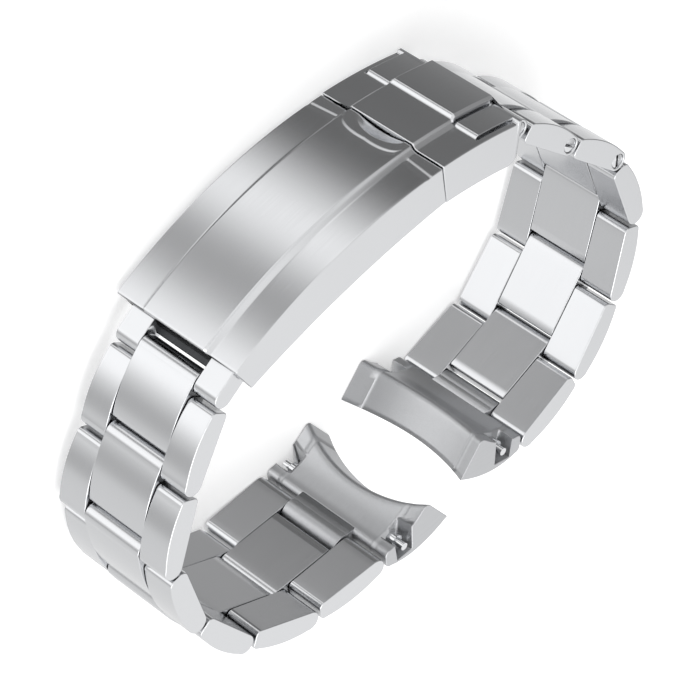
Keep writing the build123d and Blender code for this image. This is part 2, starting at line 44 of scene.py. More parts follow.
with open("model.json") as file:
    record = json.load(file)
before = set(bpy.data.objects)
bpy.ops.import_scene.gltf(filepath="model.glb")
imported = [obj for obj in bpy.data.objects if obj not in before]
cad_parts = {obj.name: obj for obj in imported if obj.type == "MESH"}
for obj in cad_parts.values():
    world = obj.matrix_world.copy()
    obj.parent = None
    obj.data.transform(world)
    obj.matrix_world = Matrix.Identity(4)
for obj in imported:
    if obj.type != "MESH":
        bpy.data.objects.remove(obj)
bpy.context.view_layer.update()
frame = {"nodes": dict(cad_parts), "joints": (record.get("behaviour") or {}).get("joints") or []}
MM = 0.001
hinges = {joint["name"]: np.array(joint["pos_m"]) / MM for joint in frame["joints"]}
# Height of the bracelet's middle plane in millimetres
MID_Z = 10.0
# Rows in each chain, and how many of them, from the clasp on, have a slotted screw
ROWS = 6
SCREW_ROWS = 2
# Which way the slots point, in degrees: the half link's screw, then those of the rows
SLOT_TURNS = {"left": (50, 0, 35), "right": (40, 7, 128)}
# Width of the bevel round the raised back part of the catch, in millimetres
STEM_BEVEL = 0.3
# Distance from an outline or a bore to the ring that keeps the face between them flat, in millimetres
SUPPORT = 0.08
# Share of open sky at a point where the painted gap shade fully covers the steel, and where it ends
GAP_SHADE_FULL = 0.1
GAP_SHADE_GONE = 0.45
# Length and depth of a brushing scratch over its spacing
SCRATCH_LENGTH = 60
SCRATCH_DEPTH = 0.06
# Light of the tent low down, by compass angle in degrees from the clasp's way along: lamps and screens
TENT_TOP = 1.5
TENT = ((-180, 0.85), (-45, 0.95), (-20, 0.75), (0, 0.45), (14, 0.22), (28, 0.18), (35, 0.22), (44, 0.12),
        (50, 0.22), (57, 0.75), (65, 1.35), (71, 1.25), (79, 0.5), (84, 0.38), (90, 0.55), (99, 1.35),
        (140, 1.45), (152, 0.9), (165, 0.55), (175, 0.6), (180, 0.85))


def linear(hex_colour):
    """Linear red, green, blue and alpha of an sRGB hex colour."""
    shares = np.array([int(hex_colour[start:start + 2], 16) for start in (1, 3, 5)]) / 255
    low = shares / 12.92
    high = ((shares + 0.055) / 1.055) ** 2.4
    return (*np.where(shares <= 0.04045, low, high).tolist(), 1.0)


def length(name, millimetres, description):
    """A length property, given in millimetres and kept in metres."""
    return FloatProperty(name=name, description=description, default=millimetres * MM, min=0.0,
                         unit="LENGTH", subtype="DISTANCE", precision=5)


def colour(name, hex_colour, description):
    """A colour property, given as sRGB hex and kept linear."""
    return FloatVectorProperty(name=name, description=description, default=linear(hex_colour), size=4,
                               min=0.0, max=1.0, subtype="COLOR")


def share(name, value, description):
    """A plain factor between 0 and 1."""
    return FloatProperty(name=name, description=description, default=value, min=0.0, max=1.0,
                         subtype="FACTOR")


def angle(name, degrees, description):
    """An angle property, given in degrees and kept in radians."""
    return FloatProperty(name=name, description=description, default=np.radians(degrees).item(),
                         unit="ROTATION", subtype="ANGLE")


class LinkSizes(bpy.types.PropertyGroup):
    """Sizes of the link rows and of the half links at the clasp."""

    pitch: length("Pitch", 10.5, "From one hinge to the next")
    clasp_width: length("Width at the clasp", 16.2, "Width of the first row")
    lug_width: length("Width at the case", 20.0, "Width of the last row and of the end links")
    centre_width: length("Centre width", 8.8, "Width of the centre pieces")
    side_play: length("Side play", 0.08, "Gap between centre and side pieces")
    start: length("Start", 1.62, "From the hinge to the square start of a row's side pieces")
    knuckle: length("Knuckle radius", 1.3, "Round far end of the side pieces, half their thickness")
    centre_knuckle: length("Centre knuckle radius", 1.4, "Round end of a centre piece at its hinge")
    arch: length("Arch", 0.5, "How far the outer face bulges")
    fillet: length("Start rounding", 0.7, "Rounding of the side pieces' square start")
    centre_gap: length("Centre gap", 0.35, "Gap between a centre piece and the next knuckle")
    centre_chamfer: length("Centre chamfer", 0.25, "Chamfer at the far end of a centre piece")
    edge: length("Edge rounding", 0.11, "Rounding of the edges along the flanks")
    half_width: length("Half link width", 15.8, "Width over the two outer faces of a half link")
    web_gap: length("Web gap", 0.28, "Gap between the left half link's web and the first centre piece")
    head: length("Screw head radius", 0.9, "Radius of the slotted heads")
    head_play: length("Head play", 0.05, "Gap round a head")
    head_height: length("Head height", 1.0, "Height of the heads")
    head_sink: length("Head sink", 0.1, "How far a head lies below the flank")
    slot_width: length("Slot width", 0.4, "Width of the screw slots")
    slot_depth: length("Slot depth", 0.55, "Depth of the screw slots")
    shank: length("Shank radius", 0.6, "Radius of pins and screws")


class EndLinkSizes(bpy.types.PropertyGroup):
    """Sizes of the curved end links."""

    left_turn: angle("Left turn", -11.0, "Which way the left end link points from its hinge")
    right_turn: angle("Right turn", -206.0, "Which way the right end link points from its hinge")
    case_radius: length("Case radius", 20.0, "Radius of the hollow face for the case")
    case_lean: angle("Case lean", 31.0, "Lean of that face")
    tube: length("Tube radius", 1.6, "Radius of the rolled tab")
    shoulder_top: length("Shoulder top", 1.25, "Height of the outer face where it starts")
    outer_arch: length("Outer arch", 0.75, "How far the outer face rises")
    tip_reach: length("Tip reach", 11.9, "From the hinge to the tips")
    tip_height: length("Tip height", 0.75, "Height of the tips")
    crest_reach: length("Crest reach", 9.0, "From the hinge to the deepest edge")
    crest_depth: length("Crest depth", 4.2, "Depth of that edge")
    valley_reach: length("Valley reach", 4.2, "From the hinge to the thin stretch")
    valley_depth: length("Valley depth", 1.5, "Depth of the thin stretch")
    shoulder_depth: length("Shoulder depth", 1.35, "Depth of the inner face where it starts")
    notch_start: length("Notch start", 3.3, "Start of the notch in each flank")
    notch_end: length("Notch end", 6.0, "End of the notch in each flank")
    notch_depth: length("Notch depth", 2.3, "How far the notch goes in")
    notch_floor: length("Notch floor", 1.25, "Level of the notch's floor")
    edge: length("Edge rounding", 0.12, "Rounding of the edges")
    crest_round: length("Crest rounding", 0.7, "Rounding of the deepest edge")


class ClaspSizes(bpy.types.PropertyGroup):
    """Sizes of the clasp cover and the safety catch, which share one curve."""

    seam_x: length("Seam X", 12.507, "Place of the seam's top edge")
    seam_y: length("Seam Y", 25.168, "Place of the seam's top edge")
    radius: length("Radius", 62.2, "Outer radius of the cover's flat borders")
    width: length("Width", 18.76, "Width of the cover and the catch")
    half_span: angle("Half span", 15.3, "Half the angle that the cover covers")
    seam_gap: length("Seam gap", 0.05, "Gap between cover and catch at the outer face")
    seam_lean: angle("Seam lean", 10.5, "Lean of the seam under the cover")
    cover_top: length("Cover thickness", 1.1, "Thickness of the cover's top")
    cover_wall: length("Cover wall", 1.0, "Thickness of the cover's side walls")
    depth_left: length("Left depth", 4.2, "Height of the side walls at the left end")
    depth_middle: length("Middle depth", 5.7, "Height of the side walls in the middle")
    depth_seam: length("Seam depth", 5.0, "Height of the side walls at the seam")
    band_width: length("Band width", 9.4, "Width of the raised middle band")
    band_height: length("Band height", 0.7, "Height of the raised middle band")
    band_bevel: length("Band bevel", 0.45, "Width of the slope beside the band")
    band_foot: length("Band foot", 0.25, "How far the slope runs out hollow")
    edge: length("Edge rounding", 0.14, "Rounding of the formed edges")
    crease: length("Crease place", 1.2, "From the seam to the groove beside it")
    crease_round: length("Crease round", 1.75, "How much further off the groove goes round the recess")
    crease_width: length("Crease half width", 0.6, "Half the width of that groove")
    crease_depth: length("Crease depth", 0.07, "Depth of that groove")
    recess: length("Groove arc", 4.35, "Half width of the groove's arc round the recess")
    pocket: length("Recess half width", 3.6, "Half the width of the finger recess at the seam")
    pocket_middle: length("Recess middle", 0.2, "How far off the middle of the clasp the recess lies")
    pocket_reach: length("Recess reach", 1.8, "How far from the seam the recess reaches")
    pocket_depth: length("Recess depth", 0.62, "Depth of the recess at the seam")
    catch_lift: length("Catch lift", 0.2, "How much higher the catch stands")
    dip: length("Dip", 0.1, "How far the catch's band dips at the seam")
    dip_length: length("Dip length", 2.6, "How far from the seam the dip starts, and from each end the easing")
    ease: length("Ease", 0.25, "How far the plate's inner face is eased off at its ends")
    catch_end: angle("Catch end", 26.84, "Where the catch ends")
    plate: length("Catch plate", 0.8, "Thickness of the catch's plate")
    skirt: length("Catch skirt", 0.65, "Thickness of the catch's skirts")
    skirt_depth: length("Skirt depth", 5.35, "Height of the catch's skirts")
    skirt_corner: length("Skirt corner", 1.3, "Rounding of the skirts' back corners")
    step: angle("Step", 20.9, "Where the raised back part starts")
    groove_end: angle("Groove end", 26.3, "Where the grooves beside the panels end")
    panel_raise: length("Panel raise", 0.35, "How much higher the panels stand")
    stem_raise: length("Stem raise", 0.45, "How much higher the stem stands")
    groove_depth: length("Groove depth", 0.5, "Depth of the grooves")
    pivot_angle: angle("Pivot place", 26.2, "Where the catch's pivot lies along the clasp")
    pivot_drop: length("Pivot drop", 1.47, "How far the pivot lies below the cover's borders")
    arm_start: angle("Arm start", 11.5, "Where the arms leave the cover")
    arm: length("Arm thickness", 0.6, "Thickness of the cover's arms")
    arm_play: length("Arm play", 0.12, "Gap beside the arms")
    boss: length("Boss radius", 0.75, "Round end of the arms")


class SteelLooks(bpy.types.PropertyGroup):
    """Colours and finish of the steel, and the shade painted into its gaps."""

    brushed: colour("Brushed steel", "#D6D7D9", "Colour of the brushed faces")
    polished: colour("Polished steel", "#DCDDDF", "Colour of pins, bars and rivets")
    belt_finished: colour("Belt finished steel", "#C4C5C7", "Colour of the end links")
    brushed_roughness: share("Brushed roughness", 0.2, "Roughness between the scratches")
    polished_roughness: share("Polished roughness", 0.1, "Roughness of the polished parts")
    scratch: length("Scratch spacing", 0.1, "Spacing of the brushing scratches")
    coarse_scratch: length("Coarse scratch spacing", 0.22, "Spacing of the scratches on the end links")
    coarse_roughness: share("Coarse roughness", 0.42, "Roughness of the end links")
    # Painted shade: the colour that ambient occlusion mixes in where a gap or bore lies in shade, and how far
    # out of the gaps it reaches
    gap_shade: colour("Film in the gaps", "#2A2B2D", "Colour of the dark film that collects in gaps")
    film_reach: length("Film reach", 0.7, "How far out of a gap the film reaches")
    clasp_film_reach: length("Clasp film reach", 0.12, "How far out of the clasp's gaps the film reaches")
    # Painted shade: the dark colour of the half link's tube and web, which darkens the gap under the clasp's
    # end
    blank: colour("Blank steel", "#4A4B4D", "Colour of steel that was never finished")


class StudioSettings(bpy.types.PropertyGroup):
    """Floor and light."""

    floor: colour("Floor", "#F2F2F2", "Colour of the floor")
    floor_width: length("Floor width", 900.0, "Width of the floor")


def node(tree, kind, settings=None, inputs=None, links=None):
    """Add a node with its settings, its input values, and links from other nodes' outputs."""
    made = tree.nodes.new(kind)
    for name, value in (settings or {}).items():
        setattr(made, name, value)
    for name, value in (inputs or {}).items():
        made.inputs[name].default_value = value
    for name, source in (links or {}).items():
        tree.links.new(source, made.inputs[name])
    return made


def new_material(name):
    """A new material, its node tree and its shader."""
    material = bpy.data.materials.new(name)
    material.use_nodes = True
    return material, material.node_tree, material.node_tree.nodes["Principled BSDF"]


def new_metal(name, looks, base, film_reach):
    """A metal of one colour, with painted shade that darkens it in gaps and bores, where little light gets in.
    """
    material, tree, shader = new_material(name)
    shader.inputs["Metallic"].default_value = 1.0
    # Painted shade: ambient occlusion mixes the gap shade colour into the base colour in gaps and bores
    opening = node(tree, "ShaderNodeAmbientOcclusion", {"samples": 6}, {"Distance": film_reach})
    unshaded = node(tree, "ShaderNodeMapRange", {"interpolation_type": "SMOOTHSTEP"},
                 {"From Min": GAP_SHADE_FULL, "From Max": GAP_SHADE_GONE}, {"Value": opening.outputs["AO"]})
    mix = node(tree, "ShaderNodeMix", {"data_type": "RGBA"}, {"A": looks.gap_shade, "B": base},
               {"Factor": unshaded.outputs["Result"]})
    tree.links.new(mix.outputs["Result"], shader.inputs["Base Color"])
    return material, tree, shader


# The brushed finishes: colour, spacing of the scratches, roughness, depth of the scratches, reach of the
# painted gap shade
BRUSHED = {
    # Stainless steel 316L, brushed along the part. Fine parallel scratches soften a reflection and vary the
    # gloss a little from streak to streak. Real ones are about 0.03 mm apart, and are drawn coarser to show
    "brushed_stainless_steel": ("brushed", "scratch", "brushed_roughness", 0.15, "film_reach"),
    # Stainless steel sheet of the clasp, brushed along the band. The same fine scratches, with the painted
    # gap shade kept close to the gaps, so that the sheet's edges stay bright at the seam
    "brushed_stainless_sheet": ("brushed", "scratch", "brushed_roughness", 0.15, "clasp_film_reach"),
    # Stainless steel, dull, with its colour painted dark as shade between the half link's plates. This painted
    # shade takes the light away from the gap under the clasp's end
    "drawn_stainless_steel": ("blank", "coarse_scratch", "coarse_roughness", 0.3, "film_reach"),
    # Stainless steel, finished on a coarse belt across the part. Deeper, wider scratches break a reflection
    # up into light and dark streaks
    "belt_finished_stainless_steel": ("belt_finished", "coarse_scratch", "coarse_roughness", 0.8, "film_reach"),
}


def brushed_metal(name, looks):
    """Steel with parallel scratches along the first grain coordinate, from its line in BRUSHED."""
    base, scratch, roughness, depth, film_reach = BRUSHED[name]
    scratch = getattr(looks, scratch)
    roughness = getattr(looks, roughness)
    material, tree, shader = new_metal(name, looks, getattr(looks, base), getattr(looks, film_reach))
    per_metre = 1.0 / scratch
    grain = node(tree, "ShaderNodeAttribute", {"attribute_name": "grain"})
    stretch = node(tree, "ShaderNodeMapping", links={"Vector": grain.outputs["Vector"]},
                   inputs={"Scale": (per_metre / SCRATCH_LENGTH, per_metre, per_metre)})
    streaks = node(tree, "ShaderNodeTexNoise", inputs={"Scale": 1.0, "Detail": 3.0, "Roughness": 0.6},
                   links={"Vector": stretch.outputs["Vector"]})
    gloss = node(tree, "ShaderNodeMapRange", links={"Value": streaks.outputs["Fac"]},
                 inputs={"From Min": 0.3, "From Max": 0.7,
                         "To Min": roughness * 0.9, "To Max": roughness * 1.15})
    tree.links.new(gloss.outputs["Result"], shader.inputs["Roughness"])
    bump = node(tree, "ShaderNodeBump", inputs={"Strength": depth, "Distance": scratch * SCRATCH_DEPTH},
                links={"Height": streaks.outputs["Fac"]})
    tree.links.new(bump.outputs["Normal"], shader.inputs["Normal"])
    return material


def polished_metal(name, looks):
    """Stainless steel pins and bars, turned and polished.

    Nearly a mirror, with the faint rings of turning and a little unevenness.
    """
    material, tree, shader = new_metal(name, looks, looks.polished, looks.film_reach)
    place = node(tree, "ShaderNodeTexCoord")
    rings = node(tree, "ShaderNodeMapping", inputs={"Scale": (800.0, 800.0, 6000.0)},
                 links={"Vector": place.outputs["Object"]})
    noise = node(tree, "ShaderNodeTexNoise", inputs={"Scale": 1.0, "Detail": 2.0},
                 links={"Vector": rings.outputs["Vector"]})
    gloss = node(tree, "ShaderNodeMapRange",
                 inputs={"To Min": looks.polished_roughness * 0.7, "To Max": looks.polished_roughness * 1.4},
                 links={"Value": noise.outputs["Fac"]})
    tree.links.new(gloss.outputs["Result"], shader.inputs["Roughness"])
    return material


def steel(name):
    """One of the finishes, made at its first use."""
    maker = brushed_metal if name in BRUSHED else polished_metal
    return bpy.data.materials.get(name) or maker(name, bpy.context.scene.steel_looks)


class Seat:
    """Where a piece sits: its start, the way it runs, the way out of the loop, and up or down."""

    def __init__(self, start, direction, left):
        self.origin = np.array([start[0], start[1], MID_Z])
        along = np.array([direction[0], direction[1], 0.0]) / np.hypot(direction[0], direction[1])
        up = np.array([0.0, 0.0, -1.0 if left else 1.0])
        self.axes = np.array([along, np.cross(up, along), up])

    def place(self, local):
        """Points given along, out and up, as points of the frame."""
        return self.origin + local @ self.axes


def arc(centre, radius, start, end, count):
    """Points on a circle from one angle to another, in degrees, ends included."""
    turn = np.radians(np.linspace(start, end, count))
    return np.stack([centre[0] + radius * np.cos(turn), centre[1] + radius * np.sin(turn)], 1)


def bow(start, end, rise, count):
    """A shallow arc from start to end that bulges by rise to the left: a parabola over the chord."""
    t = np.linspace(0, 1, count)[:, None]
    chord = np.subtract(end, start)
    side = np.array([-chord[1], chord[0]]) / np.hypot(*chord)
    return np.add(start, t * chord) + 4 * rise * t * (1 - t) * side


def bend(start, corner, end, t):
    """A curve from start to end that leaves and arrives along the lines to the corner: a parabola."""
    return (1 - t) ** 2 * start + 2 * t * (1 - t) * corner + t ** 2 * end


def cubic(start, end, leave, arrive, t):
    """A curve from start to end with a given way and speed at both: a cubic of Hermite's form."""
    return ((1 + 2 * t) * (1 - t) ** 2 * start + t * (1 - t) ** 2 * leave
            + t ** 2 * (3 - 2 * t) * end - t ** 2 * (1 - t) * arrive)


def rounded(corners, radii, steps=5):
    """A closed outline with each corner rounded.

    The rounding is a parabola that touches both sides at radius * tan(half the turn) from the
    corner, or at 45% of the shorter side if that is less.
    """
    corners = np.asarray(corners, float)
    before = np.roll(corners, 1, 0) - corners
    after = np.roll(corners, -1, 0) - corners
    reach_before = np.linalg.norm(before, axis=1, keepdims=True)
    reach_after = np.linalg.norm(after, axis=1, keepdims=True)
    before = before / reach_before
    after = after / reach_after
    cosine = np.clip(-(before * after).sum(1, keepdims=True), -1, 1)
    touch = np.reshape(radii, (-1, 1)) * np.tan(np.arccos(cosine) / 2)
    least = 0.002
    touch = np.clip(touch, least, 0.45 * np.minimum(reach_before, reach_after))
    t = np.linspace(0, 1, steps)[None, :, None]
    curve = bend((corners + before * touch)[:, None], corners[:, None], (corners + after * touch)[:, None], t)
    return curve.reshape(-1, 2)


def dense(outline, step):
    """The closed outline with extra points, so that none is further than step from the next."""
    closed = np.vstack([outline, outline[:1]])
    place = np.concatenate([[0], np.cumsum(np.linalg.norm(np.diff(closed, axis=0), axis=1))])
    extra = np.arange(0, place[-1], step)
    nearest = np.abs(extra[:, None] - place[None]).min(1)
    where = np.sort(np.concatenate([place[:-1], extra[nearest > step / 3]]))
    return np.stack([np.interp(where, place, closed[:, 0]), np.interp(where, place, closed[:, 1])], 1)


def way_round(outline):
    """1 for a closed outline that runs anticlockwise and -1 for clockwise: the sign of its shoelace area."""
    after = np.roll(outline, -1, 0)
    return np.sign((outline[:, 0] * after[:, 1] - after[:, 0] * outline[:, 1]).sum())


def inward(outline):
    """Unit normals into a closed outline: the chord between a point's neighbours, turned a quarter."""
    chord = np.roll(outline, -1, 0) - np.roll(outline, 1, 0)
    normal = np.stack([-chord[:, 1], chord[:, 0]], 1) * way_round(outline)
    return normal / np.linalg.norm(normal, axis=1, keepdims=True)


def room(outline):
    """How far each point can move in before its neighbours cross: nine tenths of the local bend radius."""
    before = outline - np.roll(outline, 1, 0)
    after = np.roll(outline, -1, 0) - outline
    turn = np.arctan2(before[:, 0] * after[:, 1] - before[:, 1] * after[:, 0], (before * after).sum(1))
    spacing = (np.linalg.norm(before, axis=1) + np.linalg.norm(after, axis=1)) / 2
    outward = np.maximum(turn * way_round(outline), 1e-6)
    return 0.9 * (spacing / outward)[:, None]


def drawn_in(outline, insets):
    """The outline drawn in by each inset, as far as each point has room, as a stack."""
    reach = np.minimum(np.reshape(insets, (-1, 1, 1)), room(outline)[None])
    return outline[None] + inward(outline)[None] * reach


def edge_steps(edge, count=4):
    """How far each ring of a rounded edge is drawn in, and how far it lies from the end face.

    A quarter circle of radius edge: the inset is edge * (1 - sin), the distance edge * (1 - cos).
    """
    turn = np.linspace(0, np.pi / 2, count + 1)
    return edge * (1 - np.sin(turn)), edge * (1 - np.cos(turn))


def level_at(height, reach):
    """Heights at each reach along a piece, from one number or from a function of the reach."""
    return height(reach) if callable(height) else np.full(reach.shape, height)


def carried(outline, low, high, edge):
    """An outline carried straight up from low to high, with a rounded edge at both ends.

    low and high are heights, or functions that give the height at a reach along the piece.
    """
    inset, rise = edge_steps(edge)
    flat = drawn_in(outline, inset)
    bottom = level_at(low, flat[..., 0]) + rise[:, None]
    top = level_at(high, flat[..., 0]) - rise[:, None]
    return np.concatenate([np.dstack([flat, bottom]), np.dstack([flat, top])[::-1]])


def bored(rings, centre, steps):
    """Add a stepped bore, so that rings run round through it and back to the first.

    Each step is a radius and a height, or a function that gives the height at a reach along the
    piece. Point i of a bore ring lies on the line from the bore's centre to point i of the outline.
    A ring close inside the outline and one close outside the bore keep the face between them flat.
    """
    spokes = rings[len(rings) // 2, :, :2] - centre
    spokes = spokes / np.linalg.norm(spokes, axis=1, keepdims=True)
    radii, heights = zip((steps[0][0] + SUPPORT, steps[0][1]), *steps)
    flat = np.stack([rings[-1, :, :2] - SUPPORT * spokes, *(centre + radius * spokes for radius in radii)])
    levels = np.stack([level_at(height, ring[:, 0]) for height, ring in zip((heights[0], *heights), flat)])
    return np.concatenate([rings, np.dstack([flat, levels])])


def head_bore(sizes, flank, at_bore, inner):
    """Steps of the counterbore for a slotted head: its broken edge, its wall and floor, and the shank's hole.

    flank is the flank's height, as a number or as a function of the reach, and at_bore is its value there.
    """
    broken, softened = 0.06, 0.02
    bore = sizes["head"] + sizes["head_play"]
    floor = at_bore - sizes["head_sink"] - sizes["head_height"]
    below = lambda depth: lambda reach: level_at(flank, reach) - depth
    return [(bore + broken, flank), (bore + softened, below(softened)), (bore, below(broken)), (bore, floor),
            (sizes["shank"], floor), (sizes["shank"], inner)]


def quads(rings, points, closed):
    """Corner numbers of the faces between each ring and the next, and round each ring."""
    row = np.arange(rings if closed else rings - 1)[:, None]
    column = np.arange(points)[None]
    beside = (column + 1) % points
    above = (row + 1) % rings
    corners = (row * points + column, row * points + beside, above * points + beside, above * points + column)
    return np.stack(corners, -1).reshape(-1, 4).tolist()


def skin(rings, grain, closed=False):
    """One closed surface from a stack of rings: points, grain coordinates and faces."""
    count, points = rings.shape[:2]
    faces = quads(count, points, closed)
    if not closed:
        faces += [list(range(points))[::-1], list(range((count - 1) * points, count * points))]
    return rings.reshape(-1, 3), grain.reshape(-1, 3), faces


def add_piece(name, skins, body, nodes, finish="brushed_stainless_steel"):
    """Put closed surfaces, given in millimetres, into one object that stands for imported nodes."""
    starts = np.cumsum([0] + [len(points) for points, _, _ in skins])
    points = np.concatenate([points for points, _, _ in skins]) * MM
    grain = np.concatenate([grain for _, grain, _ in skins]) * MM
    faces = [[corner + start for corner in face]
             for start, (_, _, faces) in zip(starts.tolist(), skins) for face in faces]
    mesh = bpy.data.meshes.new(name)
    mesh.from_pydata(points.tolist(), [], faces)
    # Each piece reads its own stretch of the scratches, by the letters of its name
    along, across = 0.01, 0.003
    offset = np.array([sum(name.encode()) * along, len(name) * across, 0.0])
    layer = mesh.attributes.new("grain", "FLOAT_VECTOR", "POINT")
    layer.data.foreach_set("vector", (grain + offset).ravel())
    work = bmesh.new()
    work.from_mesh(mesh)
    bmesh.ops.recalc_face_normals(work, faces=work.faces)
    work.to_mesh(mesh)
    work.free()
    mesh.shade_smooth()
    mesh.materials.append(steel(finish))
    piece = bpy.data.objects.new(name, mesh)
    bpy.context.scene.collection.objects.link(piece)
    normals = piece.modifiers.new("flat faces stay flat", "WEIGHTED_NORMAL")
    normals.mode = "FACE_AREA"
    normals.weight = 100
    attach(piece, body)
    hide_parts(*nodes)
    return piece


def in_mm(group):
    """The group's lengths in millimetres and its other values as they are, by name."""
    values = {}
    for name, prop in group.bl_rna.properties.items():
        if prop.type == "FLOAT" and not prop.is_array:
            values[name] = getattr(group, name) / MM if prop.unit == "LENGTH" else getattr(group, name)
    return values


def row_seats(side):
    """The number, body and seat of each row of a chain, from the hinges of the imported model."""
    places = [hinges[f"{side}_hinge_{number}"] for number in range(1, ROWS + 1)]
    places.append(hinges[f"{side}_end_hinge"])
    return [(number + 1, f"{side}_{number + 1}", Seat(places[number], places[number + 1] - places[number],
                                                      side == "left"))
            for number in range(ROWS)]


def half_link_seat(side):
    """Seat of a half link, from the clasp's hinge to the first row's, and how far apart the two are."""
    start = hinges[f"{side}_half_hinge"]
    way = hinges[f"{side}_hinge_1"] - start
    return Seat(start, way, side == "left"), np.hypot(*way[:2])


def half_width(sizes, number, reach):
    """Half the bracelet's width at a reach past the hinge that starts a row: it grows evenly."""
    grow = (sizes["lug_width"] - sizes["clasp_width"]) / 2 / (ROWS * sizes["pitch"] + sizes["knuckle"])
    return sizes["clasp_width"] / 2 + grow * ((number - 1) * sizes["pitch"] + reach)


def side_outline(sizes):
    """Outline of a side piece: flat inside, bowed outside, a rounded start and a round far end."""
    start = sizes["start"]
    fillet = sizes["fillet"]
    thick = sizes["knuckle"]
    end = sizes["pitch"]
    inside = np.linspace((end, -thick), (start + fillet, -thick), 10)
    low_corner = arc((start + fillet, -thick + fillet), fillet, -90, -180, 9)
    high_corner = arc((start + fillet, thick - fillet), fillet, 180, 90, 9)
    outside = bow((start + fillet, thick), (end, thick), sizes["arch"], 22)
    far_end = arc((end, 0), thick, 90, -90, 21)
    return np.vstack([inside[:-1], low_corner, high_corner, outside[1:-1], far_end[:-1]])


def centre_outline(sizes, next_radius):
    """Outline of a centre piece: a knuckle round the hinge it hangs on, bowed outside, square far end."""
    end = sizes["pitch"] - next_radius - sizes["centre_gap"]
    cut = sizes["centre_chamfer"]
    rise = sizes["centre_knuckle"]
    thick = sizes["knuckle"]
    inside = np.linspace((end - cut, -thick), (0, -rise), 10)
    knuckle = arc((0, 0), rise, -90, -270, 25)
    outside = bow((0, rise), (end - cut, thick), sizes["arch"], 22)
    far_end = np.array([(end, thick - cut), (end, cut - thick)])
    return np.vstack([inside[:-1], knuckle[:-1], outside, far_end])


def screw_skins(seat, sizes, reach, low, high, turn):
    """A slotted screw: a shank, a head, and two half moons that leave the slot between them."""
    head_start = high - sizes["head_height"]
    slot_floor = high - sizes["slot_depth"]
    head = sizes["head"]
    centre = (reach, 0)
    inner_edge, outer_edge = 0.03, 0.07
    parts = [carried(arc(centre, sizes["shank"], 0, 345, 24), low, head_start, inner_edge),
             carried(arc(centre, head, 0, 352.5, 48), head_start, slot_floor, inner_edge)]
    chord = np.degrees(np.arcsin(sizes["slot_width"] / 2 / head))
    for flip in (0, 180):
        moon = arc((0, 0), head, chord + flip + turn, 180 - chord + flip + turn, 25) + centre
        parts.append(carried(moon, slot_floor, high, outer_edge))
    return [skin(seat.place(part), part) for part in parts]


def on_clasp(sizes, rings):
    """A skin from rings that are given round the clasp's axis."""
    return skin(rings + np.array([*clasp_centre(sizes), MID_Z]), rings)


def arc_block(start, end, low, high, low_z, high_z, edge):
    """Rings of a block of the clasp's own curve, between two angles, two radii and two heights."""
    turn = np.linspace(start, end, 24)
    way = np.stack([np.sin(turn), np.cos(turn)], 1)
    return carried(np.vstack([high * way, (low * way)[::-1]]), low_z, high_z, edge)


def clasp_centre(sizes):
    """The axis that the clasp's curve goes round."""
    return (sizes["seam_x"] - sizes["radius"] * np.sin(sizes["half_span"]),
            sizes["seam_y"] - sizes["radius"] * np.cos(sizes["half_span"]))


def seam_angle(sizes, radius, gap):
    """Where the leaning seam plane cuts a circle round the clasp's axis.

    The plane's distance from the axis is d, so the angle is lean + arcsin(d / radius).
    """
    lean = sizes["seam_lean"]
    x, y = clasp_centre(sizes)
    distance = (sizes["seam_x"] + gap - x) * np.cos(lean) - (sizes["seam_y"] - y) * np.sin(lean)
    return lean + np.arcsin(distance / radius)


def wall_bottom(sizes, turn):
    """Radius of the cover's lower edge: where the ray at that angle meets a circle through three points."""
    x, y = clasp_centre(sizes)
    outer = sizes["radius"]
    span = sizes["half_span"]
    lean = sizes["seam_lean"]
    left = np.array([np.sin(-span), np.cos(span)]) * (outer - sizes["depth_left"])
    middle = np.array([0.0, outer - sizes["depth_middle"]])
    right = np.array([sizes["seam_x"] - x - sizes["depth_seam"] * np.sin(lean),
                      sizes["seam_y"] - y - sizes["depth_seam"] * np.cos(lean)])
    rows = np.array([middle - left, right - left])
    centre = np.linalg.solve(2 * rows, np.array([middle @ middle - left @ left, right @ right - left @ left]))
    radius = np.linalg.norm(left - centre)
    along = np.sin(turn) * centre[0] + np.cos(turn) * centre[1]
    return along + np.sqrt(along ** 2 - centre @ centre + radius ** 2)


def cover_outline(sizes, bottom):
    """Cross-section of the cover, radius and height: a top with a raised band, and two walls."""
    top = sizes["radius"]
    band = top + sizes["band_height"]
    inside = top - sizes["cover_top"]
    half = sizes["width"] / 2
    inner = half - sizes["cover_wall"]
    flat = sizes["band_width"] / 2
    rim = flat + sizes["band_bevel"]
    foot = rim + sizes["band_foot"]
    edge = sizes["edge"]
    # The slope beside the band runs out hollow from a knee three tenths up its height
    knee = (top + (band - top) * 0.3, (flat + rim) / 2)
    hollow, crisp, within, spacing = 0.8, 0.12, 0.3, 0.12
    corners = [(bottom, -half), (top, -half), (top, -foot), (knee[0], -knee[1]), (band, -flat),
               (band, flat), knee, (top, foot), (top, half), (bottom, half), (bottom, inner),
               (inside, inner), (inside, -inner), (bottom, -inner)]
    radii = [edge, edge, hollow, hollow, crisp, crisp, hollow, hollow, edge, edge, edge, within, within, edge]
    return dense(rounded(corners, radii, 6), spacing)


